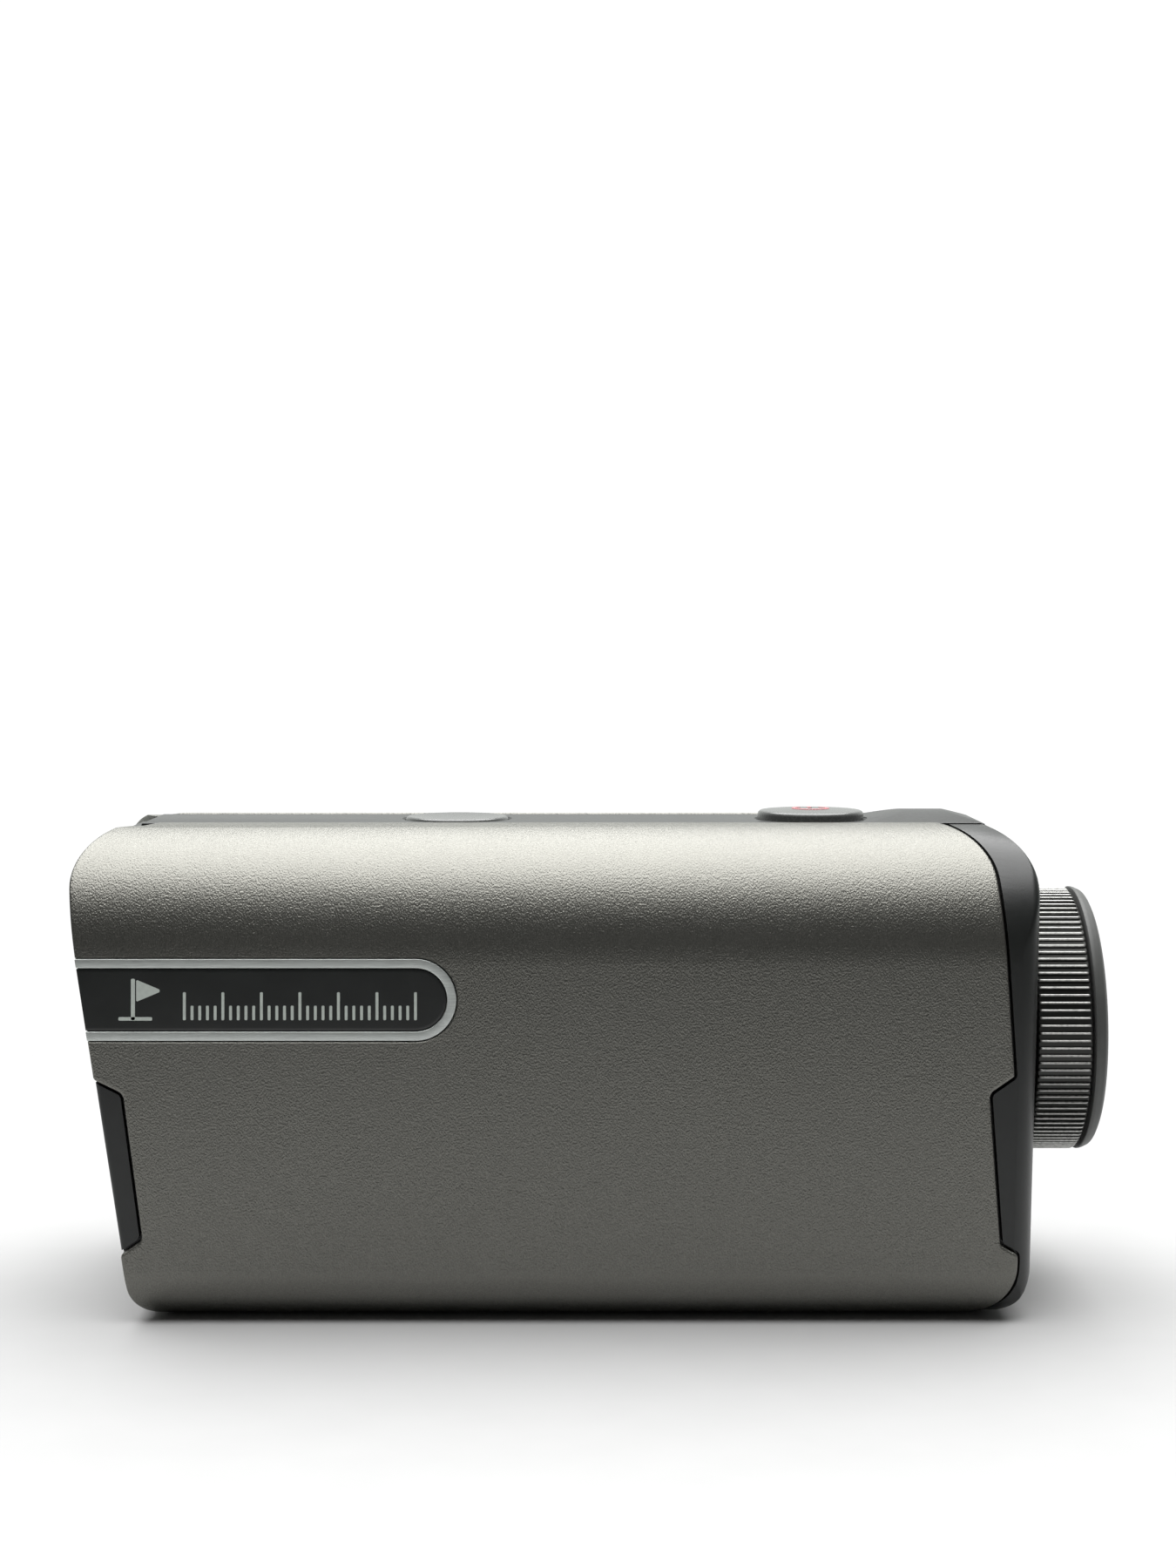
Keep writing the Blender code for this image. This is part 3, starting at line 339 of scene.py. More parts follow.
def slab(low, high, radius, guard=0.25 * MM):
    """Levels for a plate rounded at both faces. The guard is the width of a flat strip inside each edge."""
    levels = edge(low, 1, radius)[::-1] + edge(high, -1, radius)
    inner = radius + guard
    return [(low, inner)] + levels + [(high, inner)] if guard else levels


def turned(profile, axis="X", at=(0, 0, 0), segments=128):
    """A bmesh turned about an axis from a closed profile of (along, radius). A radius of 0 is on the axis."""
    turn = {
        "X": lambda d, a, b: (at[0] + d, at[1] + a, at[2] + b),
        "Z": lambda d, a, b: (at[0] + a, at[1] + b, at[2] + d),
    }[axis]
    bm = bmesh.new()
    rings = []
    for along, radius in profile:
        count = 1 if radius < 1e-9 else segments
        turns = [math.tau * i / segments for i in range(count)]
        rings.append([bm.verts.new(turn(along, radius * math.cos(a), radius * math.sin(a))) for a in turns])
    for first, second in zip(rings, rings[1:] + rings[:1]):
        if len(first) == len(second) == 1:
            continue
        for i in range(segments):
            j = (i + 1) % segments
            loop = [ring[k % len(ring)] for ring, k in ((first, i), (first, j), (second, j), (second, i))]
            bm.faces.new(list(dict.fromkeys(loop)))
    return bm


def lathe(corners, z, segments=96):
    """A part turned about a line along X at height z, from the corners of its profile in millimetres."""
    profile = rounded([tuple(value * MM for value in corner) for corner in corners])
    return turned(profile, at=(0, 0, z), segments=segments)


def cut(target, bm, operation="DIFFERENCE"):
    """Cuts a mesh object with a bmesh, at once."""
    cutter = add_object(f"{target.name}_cutter", bm)
    modifier = target.modifiers.new("cut", "BOOLEAN")
    modifier.operation = operation
    modifier.object = cutter
    modifier.solver = "EXACT"
    bpy.context.view_layer.update()
    depsgraph = bpy.context.evaluated_depsgraph_get()
    result = bpy.data.meshes.new_from_object(target.evaluated_get(depsgraph))
    target.modifiers.clear()
    old = target.data
    target.data = result
    result.name = target.name
    bpy.data.meshes.remove(old)
    bpy.data.objects.remove(cutter)


def piece(obj, slot, body, *nodes, sharp=32):
    """Shades, paints and mounts a finished piece."""
    mesh = obj.data
    mesh.shade_smooth()
    mesh.set_sharp_from_angle(angle=math.radians(sharp))
    mesh.materials.clear()
    mesh.materials.append(MATERIALS[slot])
    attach(obj, body)
    if nodes:
        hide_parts(*nodes)
    return obj


# ---------------- materials


def fill(node, **values):
    """Sets a node's inputs, which are named with _ for a space."""
    for socket, value in values.items():
        node.inputs[socket.replace("_", " ")].default_value = value


class Shader:
    """A node material under construction, with short calls for its layers.

    Its noises' sizes and its bumps' heights are given in millimetres.
    """

    def __init__(self, name):
        self.material = bpy.data.materials.new(name)
        self.material.use_nodes = True
        self.tree = self.material.node_tree
        self.bsdf = self.tree.nodes["Principled BSDF"]
        self.place = self.node("ShaderNodeTexCoord").outputs["Object"]

    def set(self, **values):
        fill(self.bsdf, **values)

    def node(self, kind, **values):
        made = self.tree.nodes.new(kind)
        for key, value in values.items():
            setattr(made, key, value)
        return made

    def link(self, source, target):
        self.tree.links.new(source, target)

    def math(self, operation, first, second):
        made = self.node("ShaderNodeMath", operation=operation)
        for socket, value in zip(made.inputs, (first, second)):
            if isinstance(value, (int, float)):
                socket.default_value = value
            else:
                self.link(value, socket)
        return made.outputs[0]

    def stretched(self, scale):
        mapping = self.node("ShaderNodeMapping")
        self.link(self.place, mapping.inputs["Vector"])
        fill(mapping, Scale=scale)
        return mapping.outputs[0]

    def noise(self, size, detail=3.0, roughness=0.55, stretch=None):
        """Noise with features of about the given size."""
        made = self.node("ShaderNodeTexNoise")
        self.link(self.stretched(stretch) if stretch else self.place, made.inputs["Vector"])
        fill(made, Scale=1 / (size * MM), Detail=detail, Roughness=roughness)
        return made.outputs["Fac"]

    def colour(self, source, stops):
        ramp = self.node("ShaderNodeValToRGB")
        self.link(source, ramp.inputs[0])
        elements = ramp.color_ramp.elements
        while len(elements) < len(stops):
            elements.new(0.5)
        for element, (position, colour) in zip(elements, stops):
            element.position = position
            element.color = (*colour, 1)
        self.link(ramp.outputs["Color"], self.bsdf.inputs["Base Color"])

    def tint(self, source, colour, *factors):
        """One colour at several brightnesses, evenly spaced along the middle of the source's range."""
        spread = [0.3 + 0.4 * i / (len(factors) - 1) for i in range(len(factors))]
        self.colour(source, [(at, tuple(c * factor for c in colour)) for at, factor in zip(spread, factors)])

    def rough(self, source, low, high):
        made = self.node("ShaderNodeMapRange")
        self.link(source, made.inputs["Value"])
        fill(made, To_Min=low, To_Max=high)
        self.link(made.outputs[0], self.bsdf.inputs["Roughness"])

    def bump(self, source, strength, distance):
        made = self.node("ShaderNodeBump")
        fill(made, Strength=strength, Distance=distance * MM)
        self.link(source, made.inputs["Height"])
        self.link(made.outputs["Normal"], self.bsdf.inputs["Normal"])


def cover_paint(shader):
    """Satin metallic grey paint with fine flakes, over a leather grain."""
    shader.set(Metallic=0.85)
    shader.tint(shader.noise(0.15, 3.0), (0.172, 0.170, 0.154), 0.84, 1.0, 1.16)
    shader.rough(shader.noise(6), 0.335, 0.375)
    shader.bump(shader.noise(0.19, 2.0, 0.45, stretch=(1.25, 0.8, 0.9)), 0.85, 0.085)


def black_plastic(shader):
    """Matte moulded plastic with a fine spark texture."""
    shader.tint(shader.noise(2.5, 4.0), (0.0125, 0.0138, 0.0132), 0.88, 1.0, 1.15)
    shader.rough(shader.noise(0.5, 4.0), 0.33, 0.43)
    shader.bump(shader.noise(0.13, 3.0), 0.35, 0.02)


def badge_gloss(shader):
    """Glossy black inlay with faint polishing marks."""
    shader.set(Coat_Weight=0.12, Coat_Roughness=0.12)
    shader.tint(shader.noise(3), (0.011, 0.0125, 0.012), 0.85, 1.0, 1.2)
    shader.rough(shader.noise(1.2, 5.0, stretch=(0.2, 1, 1)), 0.26, 0.36)
    shader.bump(shader.noise(0.8, 2.0), 0.05, 0.01)


def badge_silver(shader):
    """Satin silver trim, brushed along its length."""
    shader.set(Metallic=0.85)
    brushed = shader.noise(0.12, 3.0, stretch=(0.06, 1, 1))
    shader.tint(brushed, (0.60, 0.63, 0.61), 0.9, 1.0, 1.1)
    shader.rough(brushed, 0.42, 0.54)
    shader.bump(brushed, 0.12, 0.006)


def badge_print(shader):
    """The pale satin ink of the badge's ornament."""
    shader.tint(shader.noise(0.5, 4.0), (0.58, 0.63, 0.585), 0.93, 1.0, 1.05)
    shader.rough(shader.noise(0.3), 0.36, 0.5)
    shader.bump(shader.noise(0.1), 0.1, 0.006)


def ring_metal(shader):
    """Bead-blasted aluminium, lighter on the ribs' crests from wear and a painted highlight, with painted shade in
    the lands between them.
    """
    shader.set(Metallic=0.9)
    split = shader.node("ShaderNodeSeparateXYZ")
    shader.link(shader.place, split.inputs[0])
    up = shader.math("SUBTRACT", split.outputs["Z"], EYE_Z)
    square = shader.math("ADD", shader.math("POWER", up, 2), shader.math("POWER", split.outputs["Y"], 2))
    radius = shader.math("SQRT", square, 0)
    span = shader.node("ShaderNodeMapRange")
    shader.link(radius, span.inputs["Value"])
    fill(span, From_Min=RING_CREST - RIB_HEIGHT, From_Max=RING_CREST)
    # Colour rises with radius: a painted highlight on the rib crests with some wear, and painted shade down in the
    # lands.
    crest_highlight_and_wear = shader.math("MULTIPLY", shader.math("ADD", shader.noise(0.35, 4.0), 0.45), span.outputs[0])
    shader.colour(crest_highlight_and_wear, [(0.3, (0.055, 0.056, 0.053)), (0.95, (0.55, 0.55, 0.53))])
    shader.rough(crest_highlight_and_wear, 0.48, 0.3)
    shader.bump(shader.noise(0.09, 2.0), 0.25, 0.01)


def rubber(shader):
    """Soft matte black rubber."""
    shader.set(Sheen_Weight=0.08, Sheen_Roughness=0.5)
    shader.tint(shader.noise(1.8, 4.0), (0.07, 0.072, 0.069), 0.92, 1.0, 1.1)
    shader.rough(shader.noise(0.4, 3.0), 0.45, 0.60)
    shader.bump(shader.noise(0.11, 3.0), 0.3, 0.015)


def button_rubber(shader):
    """The buttons' rubber, polished by use."""
    shader.set(Specular_IOR_Level=0.7)
    shader.tint(shader.noise(2.5, 1.0), (0.10, 0.103, 0.10), 0.96, 1.0, 1.04)
    shader.rough(shader.noise(0.4, 3.0), 0.24, 0.30)
    shader.bump(shader.noise(0.25, 2.0), 0.05, 0.002)


def symbol_red(shader):
    """The pinkish red paint of the power symbol."""
    shader.tint(shader.noise(0.4), (0.60, 0.17, 0.19), 0.9, 1.0, 1.1)
    shader.rough(shader.noise(0.2), 0.27, 0.38)


def lens_glass(shader):
    """Polished glass with a faintly green anti-reflection coating."""
    shader.set(Base_Color=(0.88, 0.93, 0.94, 1), Transmission_Weight=0.97)
    shader.set(Coat_Weight=1.0, Coat_Roughness=0.02, Coat_IOR=1.7, Coat_Tint=(0.80, 0.91, 0.88, 1))
    shader.rough(shader.noise(2), 0.01, 0.035)


def anodised_black(shader):
    """Black anodised aluminium with fine turning marks."""
    shader.set(Metallic=0.5)
    turning = shader.noise(0.15, 2.0, stretch=(1, 0.1, 0.1))
    shader.tint(turning, (0.02, 0.02, 0.022), 0.8, 1.0, 1.3)
    shader.rough(turning, 0.3, 0.46)
    shader.bump(turning, 0.1, 0.006)


def circuit_board(shader):
    """Green solder mask with the faint relief of its copper tracks."""
    green = (0.015, 0.10, 0.045)
    shader.set(Coat_Weight=0.3)
    tracks = shader.node("ShaderNodeTexBrick", offset=0.5)
    shader.link(shader.place, tracks.inputs["Vector"])
    fill(tracks, Scale=1 / (3 * MM), Mortar_Size=0.06)
    shader.colour(tracks.outputs["Fac"], [(0.2, green), (0.8, (0.03, 0.19, 0.09))])
    shader.bump(tracks.outputs["Fac"], 0.3, 0.03)
    shader.rough(shader.noise(0.5), 0.33, 0.48)


def plated_steel(shader):
    """Nickel-plated steel with fine rubbing marks."""
    shader.set(Metallic=1.0)
    marks = shader.noise(0.3, 4.0)
    shader.tint(marks, (0.62, 0.62, 0.60), 0.85, 1.0, 1.08)
    shader.rough(marks, 0.2, 0.38)
    shader.bump(marks, 0.1, 0.01)


def cell_wrap(shader):
    """The blue heat-sealed foil of the cell, slightly creased."""
    shader.set(Metallic=0.2)
    shader.tint(shader.noise(5), (0.10, 0.17, 0.36), 0.85, 1.0, 1.15)
    shader.rough(shader.noise(1.5), 0.28, 0.42)
    shader.bump(shader.noise(2.5, 4.0), 0.4, 0.1)


def flex_film(shader):
    """Amber polyimide film with its parallel conductors."""
    amber = (0.55, 0.28, 0.06)
    lines = shader.node("ShaderNodeTexWave")
    shader.link(shader.place, lines.inputs["Vector"])
    fill(lines, Scale=1 / (5 * MM))
    shader.colour(lines.outputs["Fac"], [(0.3, amber), (0.7, (0.34, 0.15, 0.03))])
    shader.rough(shader.noise(0.5), 0.28, 0.42)


def table_paint(shader):
    """Pale matt paint, almost even."""
    shader.set(Roughness=0.9, Specular_IOR_Level=0.1)
    shader.tint(shader.noise(8), (0.46, 0.46, 0.46), 0.99, 1.0, 1.01)


def made(maker):
    """The material that a function describes, under the function's name."""
    shader = Shader(maker.__name__)
    maker(shader)
    return shader.material


MAKERS = (cover_paint, black_plastic, badge_gloss, badge_silver, ring_metal, rubber, lens_glass,
          anodised_black, circuit_board, plated_steel, cell_wrap, flex_film)
MATERIALS = {maker.__name__: made(maker) for maker in MAKERS}
PRINT = made(badge_print)
RED = made(symbol_red)
BUTTON = made(button_rubber)


def paint_nodes():
    """Every CAD node gets its slot's material, shown or not."""
    for row in frame["record"]["subparts"]:
        mesh = NODES[row["node"]].data
        mesh.materials.clear()
        mesh.materials.append(MATERIALS[row["material_slot"]])


# ---------------- covers


def height_reader(points):
    """X at any height on an outline that runs steadily up or down, from its points (x, z)."""
    ordered = sorted((z, x) for x, z in points)

    def read(z):
        if z <= ordered[0][0]:
            return ordered[0][1]
        for (z0, x0), (z1, x1) in zip(ordered, ordered[1:]):
            if z <= z1:
                return x1 if z1 - z0 < 1e-12 else x0 + (x1 - x0) * (z - z0) / (z1 - z0)
        return ordered[-1][1]

    return read


def cover_ends(spread):
    """Functions for the x of a cover's front and rear at any height, grown by spread."""
    corners = grown(cover_front() + cover_rear(), spread)
    halfway = len(cover_front())
    outline = rounded(corners)
    middle = (corners[0][0] + corners[halfway][0]) / 2
    front = [p for p in outline if p[0] < middle]
    rear = [p for p in outline if p[0] >= middle]
    return height_reader(front), height_reader(rear)


def cover_stations(spread):
    """Stations down a cover from edge to edge, close together where its ends have steps."""
    flat = BODY_WIDTH / 2 - TOP_RADIUS
    first = 1 - math.acos((COVER_TOP_EDGE - spread - flat) / TOP_RADIUS) / (math.pi / 2)
    last = 1 - (COVER_BOTTOM_EDGE - spread) / (BODY_WIDTH / 2 - BOTTOM_RADIUS)
    rows = [("shoulder", s) for s in shares(40, first, 1)]
    steps = ((NOTCH_BOTTOM, NOTCH_BOTTOM + NOTCH_SLOPE), (NOTCH_TOP - NOTCH_SLOPE, NOTCH_TOP + 0.3 * MM))
    start, end = BODY_HEIGHT - TOP_RADIUS, BOTTOM_RADIUS
    z = start
    while True:
        near_step = any(low - 1 * MM < z < high + 1 * MM for low, high in steps)
        z -= 0.08 * MM if near_step else 0.6 * MM
        if z <= end:
            break
        rows.append(("side", (start - z) / (start - end)))
    rows += [("foot", s) for s in shares(20)]
    rows += [("bottom", s) for s in shares(3, 0, last)[1:]]
    return rows


def cover_rows(spread, outer, inner, rim):
    """Rows (kind, share, outer inset, inner inset), with rounded free edges where there's a rim."""
    stations = cover_stations(spread)
    if not rim:
        return [(kind, share, outer, inner) for kind, share in stations]
    (top_kind, top), (low_kind, low) = stations[0], stations[-1]
    top_step = rim / (TOP_RADIUS * math.pi / 2)
    low_step = rim / (BODY_WIDTH / 2 - BOTTOM_RADIUS)
    bends = [(1 - math.sin(a), outer + rim * (1 - math.cos(a))) for a in quarter(4)]
    head = [(top_kind, top + top_step * along, out) for along, out in bends[::-1]]
    foot = [(low_kind, low - low_step * along, out) for along, out in bends]
    middle = [(k, s, outer) for k, s in stations[1:-1] if k != top_kind or s > top + top_step]
    return [(k, s, out, inner - (out - outer)) for k, s, out in head + middle + foot]


def cover_solid(side, spread=0.0, outer=0.0, inner=COVER_THICKNESS, rim=RIM):
    """One cover as rows across it. Each row is a closed loop, with rounded ends at the front and the rear."""
    front_at, rear_at = cover_ends(spread)
    rows = cover_rows(spread, outer, inner, rim)
    points = [station(kind, share, 0) for kind, share, _, _ in rows]
    travel = [0.0]
    for (y0, z0), (y1, z1) in zip(points, points[1:]):
        travel.append(travel[-1] + max(math.hypot(y1 - y0, z1 - z0), 1e-7))

    def slope(read, j):
        low, high = max(j - 1, 0), min(j + 1, len(points) - 1)
        return (read(points[high][1]) - read(points[low][1])) / (travel[high] - travel[low])

    turns = quarter(4) if rim else [0.0]
    loops = []
    for j, (kind, share, out, into) in enumerate(rows):
        z = points[j][1]
        ends = []
        for read, way in ((front_at, 1), (rear_at, -1)):
            stretch = rim * min(math.hypot(1, slope(read, j)), 2.2)
            x = read(z)
            bend = [(x + way * stretch * (1 - math.cos(a)), out + rim * (1 - math.sin(a))) for a in turns]
            guard = [(x + way * (stretch + 0.35 * MM), out)] if rim else []
            ends.append(bend + guard)
        loop = ends[0] + ends[1][::-1] + [(rear_at(z), into), (front_at(z), into)]
        sites = [(x, station(kind, share, inset)) for x, inset in loop]
        loops.append([(x, side * y, z) for x, (y, z) in sites])
    return skin(loops)


def cover_space(side):
    """The space that the neighbours of a cover leave for it."""
    return cover_solid(side, spread=GAP, outer=-REACH, inner=CORE_INSET, rim=0.0)


def crest_step(side):
    """A cutter that lowers the front end of a cover's crest, with a short ramp up to the full height."""
    low = BODY_HEIGHT - CREST_STEP
    ramp = [(-BEYOND, low), (CREST_STEP_X - 0.9 * MM, low), (CREST_STEP_X - 0.4 * MM, low + 0.05 * MM),
            (CREST_STEP_X + 1.6 * MM, BODY_HEIGHT), (CREST_STEP_X + 2.2 * MM, BODY_HEIGHT + REACH),
            (-BEYOND, BODY_HEIGHT + REACH)]
    return prism(ramp, *sorted((0, side * BODY_WIDTH)), "Y")


def make_covers():
    """Both side shells, the left one with the badge's recess."""
    face = -BODY_WIDTH / 2
    chamfer = 0.12 * MM
    levels = [(face - REACH, -chamfer), (face, -chamfer), (face + chamfer, 0), (face + BADGE_DEPTH, 0)]
    for word, side in (("left", -1), ("right", 1)):
        cover = add_object(f"{word}_cover_shell", cover_solid(side))
        cut(cover, crest_step(side))
        if word == "left":
            cut(cover, stack(lambda inset: badge_outline(inset, REACH), levels, "Y"))
        piece(cover, "cover_paint", "body", f"{word}_cover")


# ---------------- badge


def band(outer_inset, inner_inset, bevel, top, bottom):
    """The U-shaped trim of the badge, with rounded upper edges."""
    bends = [(bevel * (1 - math.cos(a)), top + bevel * (1 - math.sin(a))) for a in quarter(3)]
    outer_side = [(outer_inset + inward, depth) for inward, depth in bends]
    inner_side = [(inner_inset - inward, depth) for inward, depth in bends[::-1]]
    rails = []
    for inset, depth in [(outer_inset, bottom)] + outer_side + inner_side + [(inner_inset, bottom)]:
        outline = badge_outline(inset)
        rails.append([(x, depth, z) for x, z in [outline[-1]] + outline[:-1]])
    return skin([[rail[i] for rail in rails] for i in range(len(rails[0]))])


def mark(name, corners, top):
    """One flat printed mark on the badge."""
    obj = add_object(name, prism(rounded(corners), top + INK, top, "Y"))
    obj.data.materials.append(PRINT)
    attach(obj, "body")


def make_badge():
    """The silver trim, the black plate, and a generic ornament: a pennant and a row of scale ticks."""
    face = -BODY_WIDTH / 2
    back = face + BADGE_DEPTH - BADGE_GAP
    rim = add_object("badge_trim_rim", band(BADGE_GAP, BADGE_TRIM_WIDTH, 0.08 * MM, face, back))
    piece(rim, "badge_silver", "body", "badge_trim")
    plate_face = face + BADGE_GAP
    inner = BADGE_TRIM_WIDTH + BADGE_GAP
    plate = add_object("badge_plate_inlay", stack(
        lambda inset: badge_outline(inner + inset), slab(plate_face, back, 0.1 * MM), "Y"))
    piece(plate, "badge_gloss", "body", "badge_plate")
    ink = plate_face - INK
    pole_x = front_x(BADGE_Z) + 5.2 * MM
    low = BADGE_Z - 2.1 * MM
    hoist = pole_x + 0.55 * MM
    pennant = [(hoist, low + 1.9 * MM, 0.12 * MM), (pole_x + 3.3 * MM, low + 3.05 * MM, 0.2 * MM),
               (hoist, low + 4.2 * MM, 0.12 * MM)]
    ground = rectangle(pole_x - 1.3 * MM, pole_x + 2.2 * MM, low - 0.05 * MM, low + 0.32 * MM, 0.12 * MM)
    mark("badge_mark_pole", rectangle(pole_x, pole_x + 0.42 * MM, low, low + 4.3 * MM, 0.15 * MM), ink)
    mark("badge_mark_pennant", pennant, ink)
    mark("badge_mark_ground", ground, ink)
    for i in range(31):
        x = pole_x + (5.4 + 0.8 * i) * MM
        height = (2.9 if i % 5 == 0 else 1.5) * MM
        mark(f"badge_mark_tick_{i:02d}", rectangle(x, x + 0.3 * MM, low, low + height, 0.1 * MM), ink)


# ---------------- black ends and panels


def rounding(distance, radius):
    """How far a rounded edge of an end face falls back, at a distance inside the body's side."""
    reach = radius - max(distance, 0.0)
    return radius - math.sqrt(radius * radius - reach * reach) if reach > 0 else 0.0


def end_solid(plane_x, inner_x, inset, way, top, bottom, sides, rim):
    """A solid of the body's section from inner_x to a leaning end face, whose edges are rounded.

    way is the sign of X on the way out. top, bottom and sides are the radii at those edges, and rim is the
    least radius, right round the face.
    """
    loops = [[(inner_x, y, z) for y, z in section(inset)]]
    for deep in [top * (1 - math.cos(turn)) for turn in quarter(26)]:
        loop = []
        for kind, share, side in perimeter():
            y, z = station(kind, share, inset + deep)
            falls = (rounding(BODY_HEIGHT - z, top), rounding(z, bottom), rounding(BODY_WIDTH / 2 - y, sides),
                     rounding(deep, rim))
            fall = sum(f ** 3 for f in falls) ** (1 / 3)
            loop.append((plane_x(z) - way * fall, side * y, z))
        loops.append(loop)
    return skin(loops)


def hole(radius, low, high, chamfer, mouth):
    """The profile of a round cutter from low to high that flares at the mouth, which is one of its ends."""
    wide = radius + chamfer
    if mouth == high:
        return [(low, 0), (low, radius), (high - chamfer, radius), (high, wide), (high + REACH, wide),
                (high + REACH, 0)]
    ahead = low - 5 * MM
    return [(ahead, 0), (ahead, wide), (low, wide), (low + chamfer, radius), (high, radius), (high, 0)]


def make_rear_frame():
    """The frame at the eyepiece end, with a tongue between the covers, and the lanyard pin in its slot."""
    solid = end_solid(rear_x, FRAME_FRONT - 4 * MM, FRAME_INSET, 1, 6.5 * MM, 5.8 * MM, 3.5 * MM, 1.0 * MM)
    shell = add_object("rear_frame_shell", solid)
    below = rectangle(-BODY_WIDTH, BODY_WIDTH, -REACH, BODY_HEIGHT - TOP_RADIUS)
    front = rectangle(-BODY_WIDTH, BODY_WIDTH, 0, BODY_HEIGHT + REACH)
    panel_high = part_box("top_panel")[1]
    seam = 0.06 * MM
    half = panel_high.y + seam
    pocket = rectangle(-half, half, BODY_HEIGHT - CORE_INSET, BODY_HEIGHT + 5 * MM)
    trim(shell, below, WITHIN, FRAME_FRONT)
    cut(shell, prism(section(COVER_THICKNESS), WITHIN, FRAME_FRONT))
    trim(shell, front, WITHIN, TONGUE_FRONT)
    for side in (-1, 1):
        cut(shell, cover_space(side))
    trim(shell, pocket, WITHIN, panel_high.x + seam)
    cut(shell, turned(hole(12.2 * MM, WITHIN, rear_x(EYE_Z), 0.3 * MM, rear_x(EYE_Z)), at=(0, 0, EYE_Z)))
    cut_usb_recess(shell)
    cut_lanyard_slot(shell)
    piece(shell, "black_plastic", "body", "rear_frame")


def cut_usb_recess(shell):
    """The flap's shallow recess with its flared mouth, and the port's opening in its floor."""
    flap_low, flap_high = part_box("usb_flap")
    recess = rectangle(flap_low.y - GAP, flap_high.y + GAP, flap_low.z - GAP, flap_high.z + GAP, 1.4 * MM)
    floor = flap_high.x - FLAP_THICKNESS - GAP
    mouth = rear_x(flap_low.z) - 0.05 * MM
    flare = -0.5 * MM
    levels = [(floor, 0), (mouth - 0.2 * MM, 0), (mouth + 0.3 * MM, flare), (mouth + 3 * MM, flare)]
    cut(shell, stack(shrinking(recess), levels, "X"))
    low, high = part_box("usb_port")
    opening = rectangle(low.y - 0.35 * MM, high.y + 0.35 * MM, low.z - GAP, high.z + GAP, 1.5 * MM)
    trim(shell, opening, WITHIN, floor + 1 * MM)


def cut_lanyard_slot(shell):
    """The slot at the rear corner, with the bores for the pin that crosses it, and the pin itself."""
    low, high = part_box("lanyard_pin")
    centre = ((low.x + high.x) / 2, (low.y + high.y) / 2, 0)
    radius = (high.y - low.y) / 2
    land = 1.0 * MM
    slot = rectangle(43.0 * MM, BEYOND, 15 * MM, 40 * MM, 0.8 * MM)
    trim(shell, slot, low.z + land, high.z - land, "Z")
    play = 0.1 * MM
    bottom, top, wide = low.z - play, high.z + play, radius + play
    cut(shell, turned([(bottom, 0), (bottom, wide), (top, wide), (top, 0)], "Z", centre, 48))
    ends = edge(low.z, 1, 0.15 * MM)[::-1] + edge(high.z, -1, 0.15 * MM)
    profile = [(low.z, 0)] + [(along, radius - inset) for along, inset in ends] + [(high.z, 0)]
    rod = add_object("lanyard_pin_rod", turned(profile, "Z", centre, 48))
    piece(rod, "plated_steel", "body", "lanyard_pin")


def bezel_face(z):
    return front_x(z, BEZEL_RECESS)


def make_front_bezel():
    """The black front with its two round windows, cut back for the covers and the panels."""
    inner_x = BEZEL_BACK + 8 * MM
    solid = end_solid(bezel_face, inner_x, BEZEL_INSET, -1, 8.0 * MM, 4.5 * MM, 0.5 * MM, 0.5 * MM)
    shell = add_object("front_bezel_shell", solid)
    back = rectangle(-BODY_WIDTH, BODY_WIDTH, -REACH, BODY_HEIGHT + REACH)
    trim(shell, back, BEZEL_BACK, BEZEL_BACK + 20 * MM)
    for side in (-1, 1):
        cut(shell, cover_space(side))
    panel_low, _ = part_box("top_panel")
    half_top, half_base = COVER_TOP_EDGE + GAP, COVER_BOTTOM_EDGE + GAP
    over = rectangle(-half_top, half_top, BODY_HEIGHT - CORE_INSET, BODY_HEIGHT + 5 * MM, 0.3 * MM)
    under = rectangle(-half_base, half_base, -5 * MM, CORE_INSET, 0.3 * MM)
    lip = rectangle(-BODY_WIDTH, BODY_WIDTH, BODY_HEIGHT - 1.0 * MM, BODY_HEIGHT + REACH)
    trim(shell, over, panel_low.x - 0.12 * MM, -WITHIN)
    trim(shell, under, -BEYOND, -WITHIN)
    trim(shell, lip, -BEYOND, panel_low.x)
    for z, (radius, chamfer) in ((EYE_Z, OBJECTIVE_WINDOW), (LASER_Z, LASER_WINDOW)):
        mouth = bezel_face(z - radius)
        cut(shell, turned(hole(radius, mouth, -WITHIN, chamfer, mouth), at=(0, 0, z)))
    piece(shell, "black_plastic", "body", "front_bezel")


def make_top_panel():
    """The strip under the buttons: a raised rear end, a crowned top and a hole for each button."""
    low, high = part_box("top_panel")
    top = BODY_HEIGHT - 0.15 * MM
    plateau = (35.0 * MM, 39.1 * MM)
    ramp = 4.6 * MM
    side_view = [
        (low.x, low.z, 0.2 * MM),
        (high.x, low.z, 0.2 * MM),
        (high.x, top - 0.1 * MM, 0.1 * MM),
        (plateau[1], high.z, 0.9 * MM),
        (plateau[0], high.z, 4.0 * MM),
        (plateau[0] - ramp, top, 3.0 * MM),
        (low.x, top, 0.25 * MM),
    ]
    strip = add_object("top_panel_strip", stack(shrinking(side_view), slab(low.y, high.y, 0.15 * MM, 0), "Y"))
    wide = high.y + GAP
    drop = 1.15 * MM
    crown = [(s * wide, high.z - drop * s * s) for s in shares(40, -1, 1)] + [(wide, 0), (-wide, 0)]
    cut(strip, prism(crown, -BEYOND, BEYOND), "INTERSECT")
    for word, (radius, _) in BUTTONS.items():
        middle = sum(corner.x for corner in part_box(f"{word}_button")) / 2
        profile = hole(radius + BUTTON_GAP, 40 * MM, top, 0.2 * MM, top)
        cut(strip, turned(profile, "Z", (middle, 0, 0)))
    piece(strip, "black_plastic", "body", "top_panel")


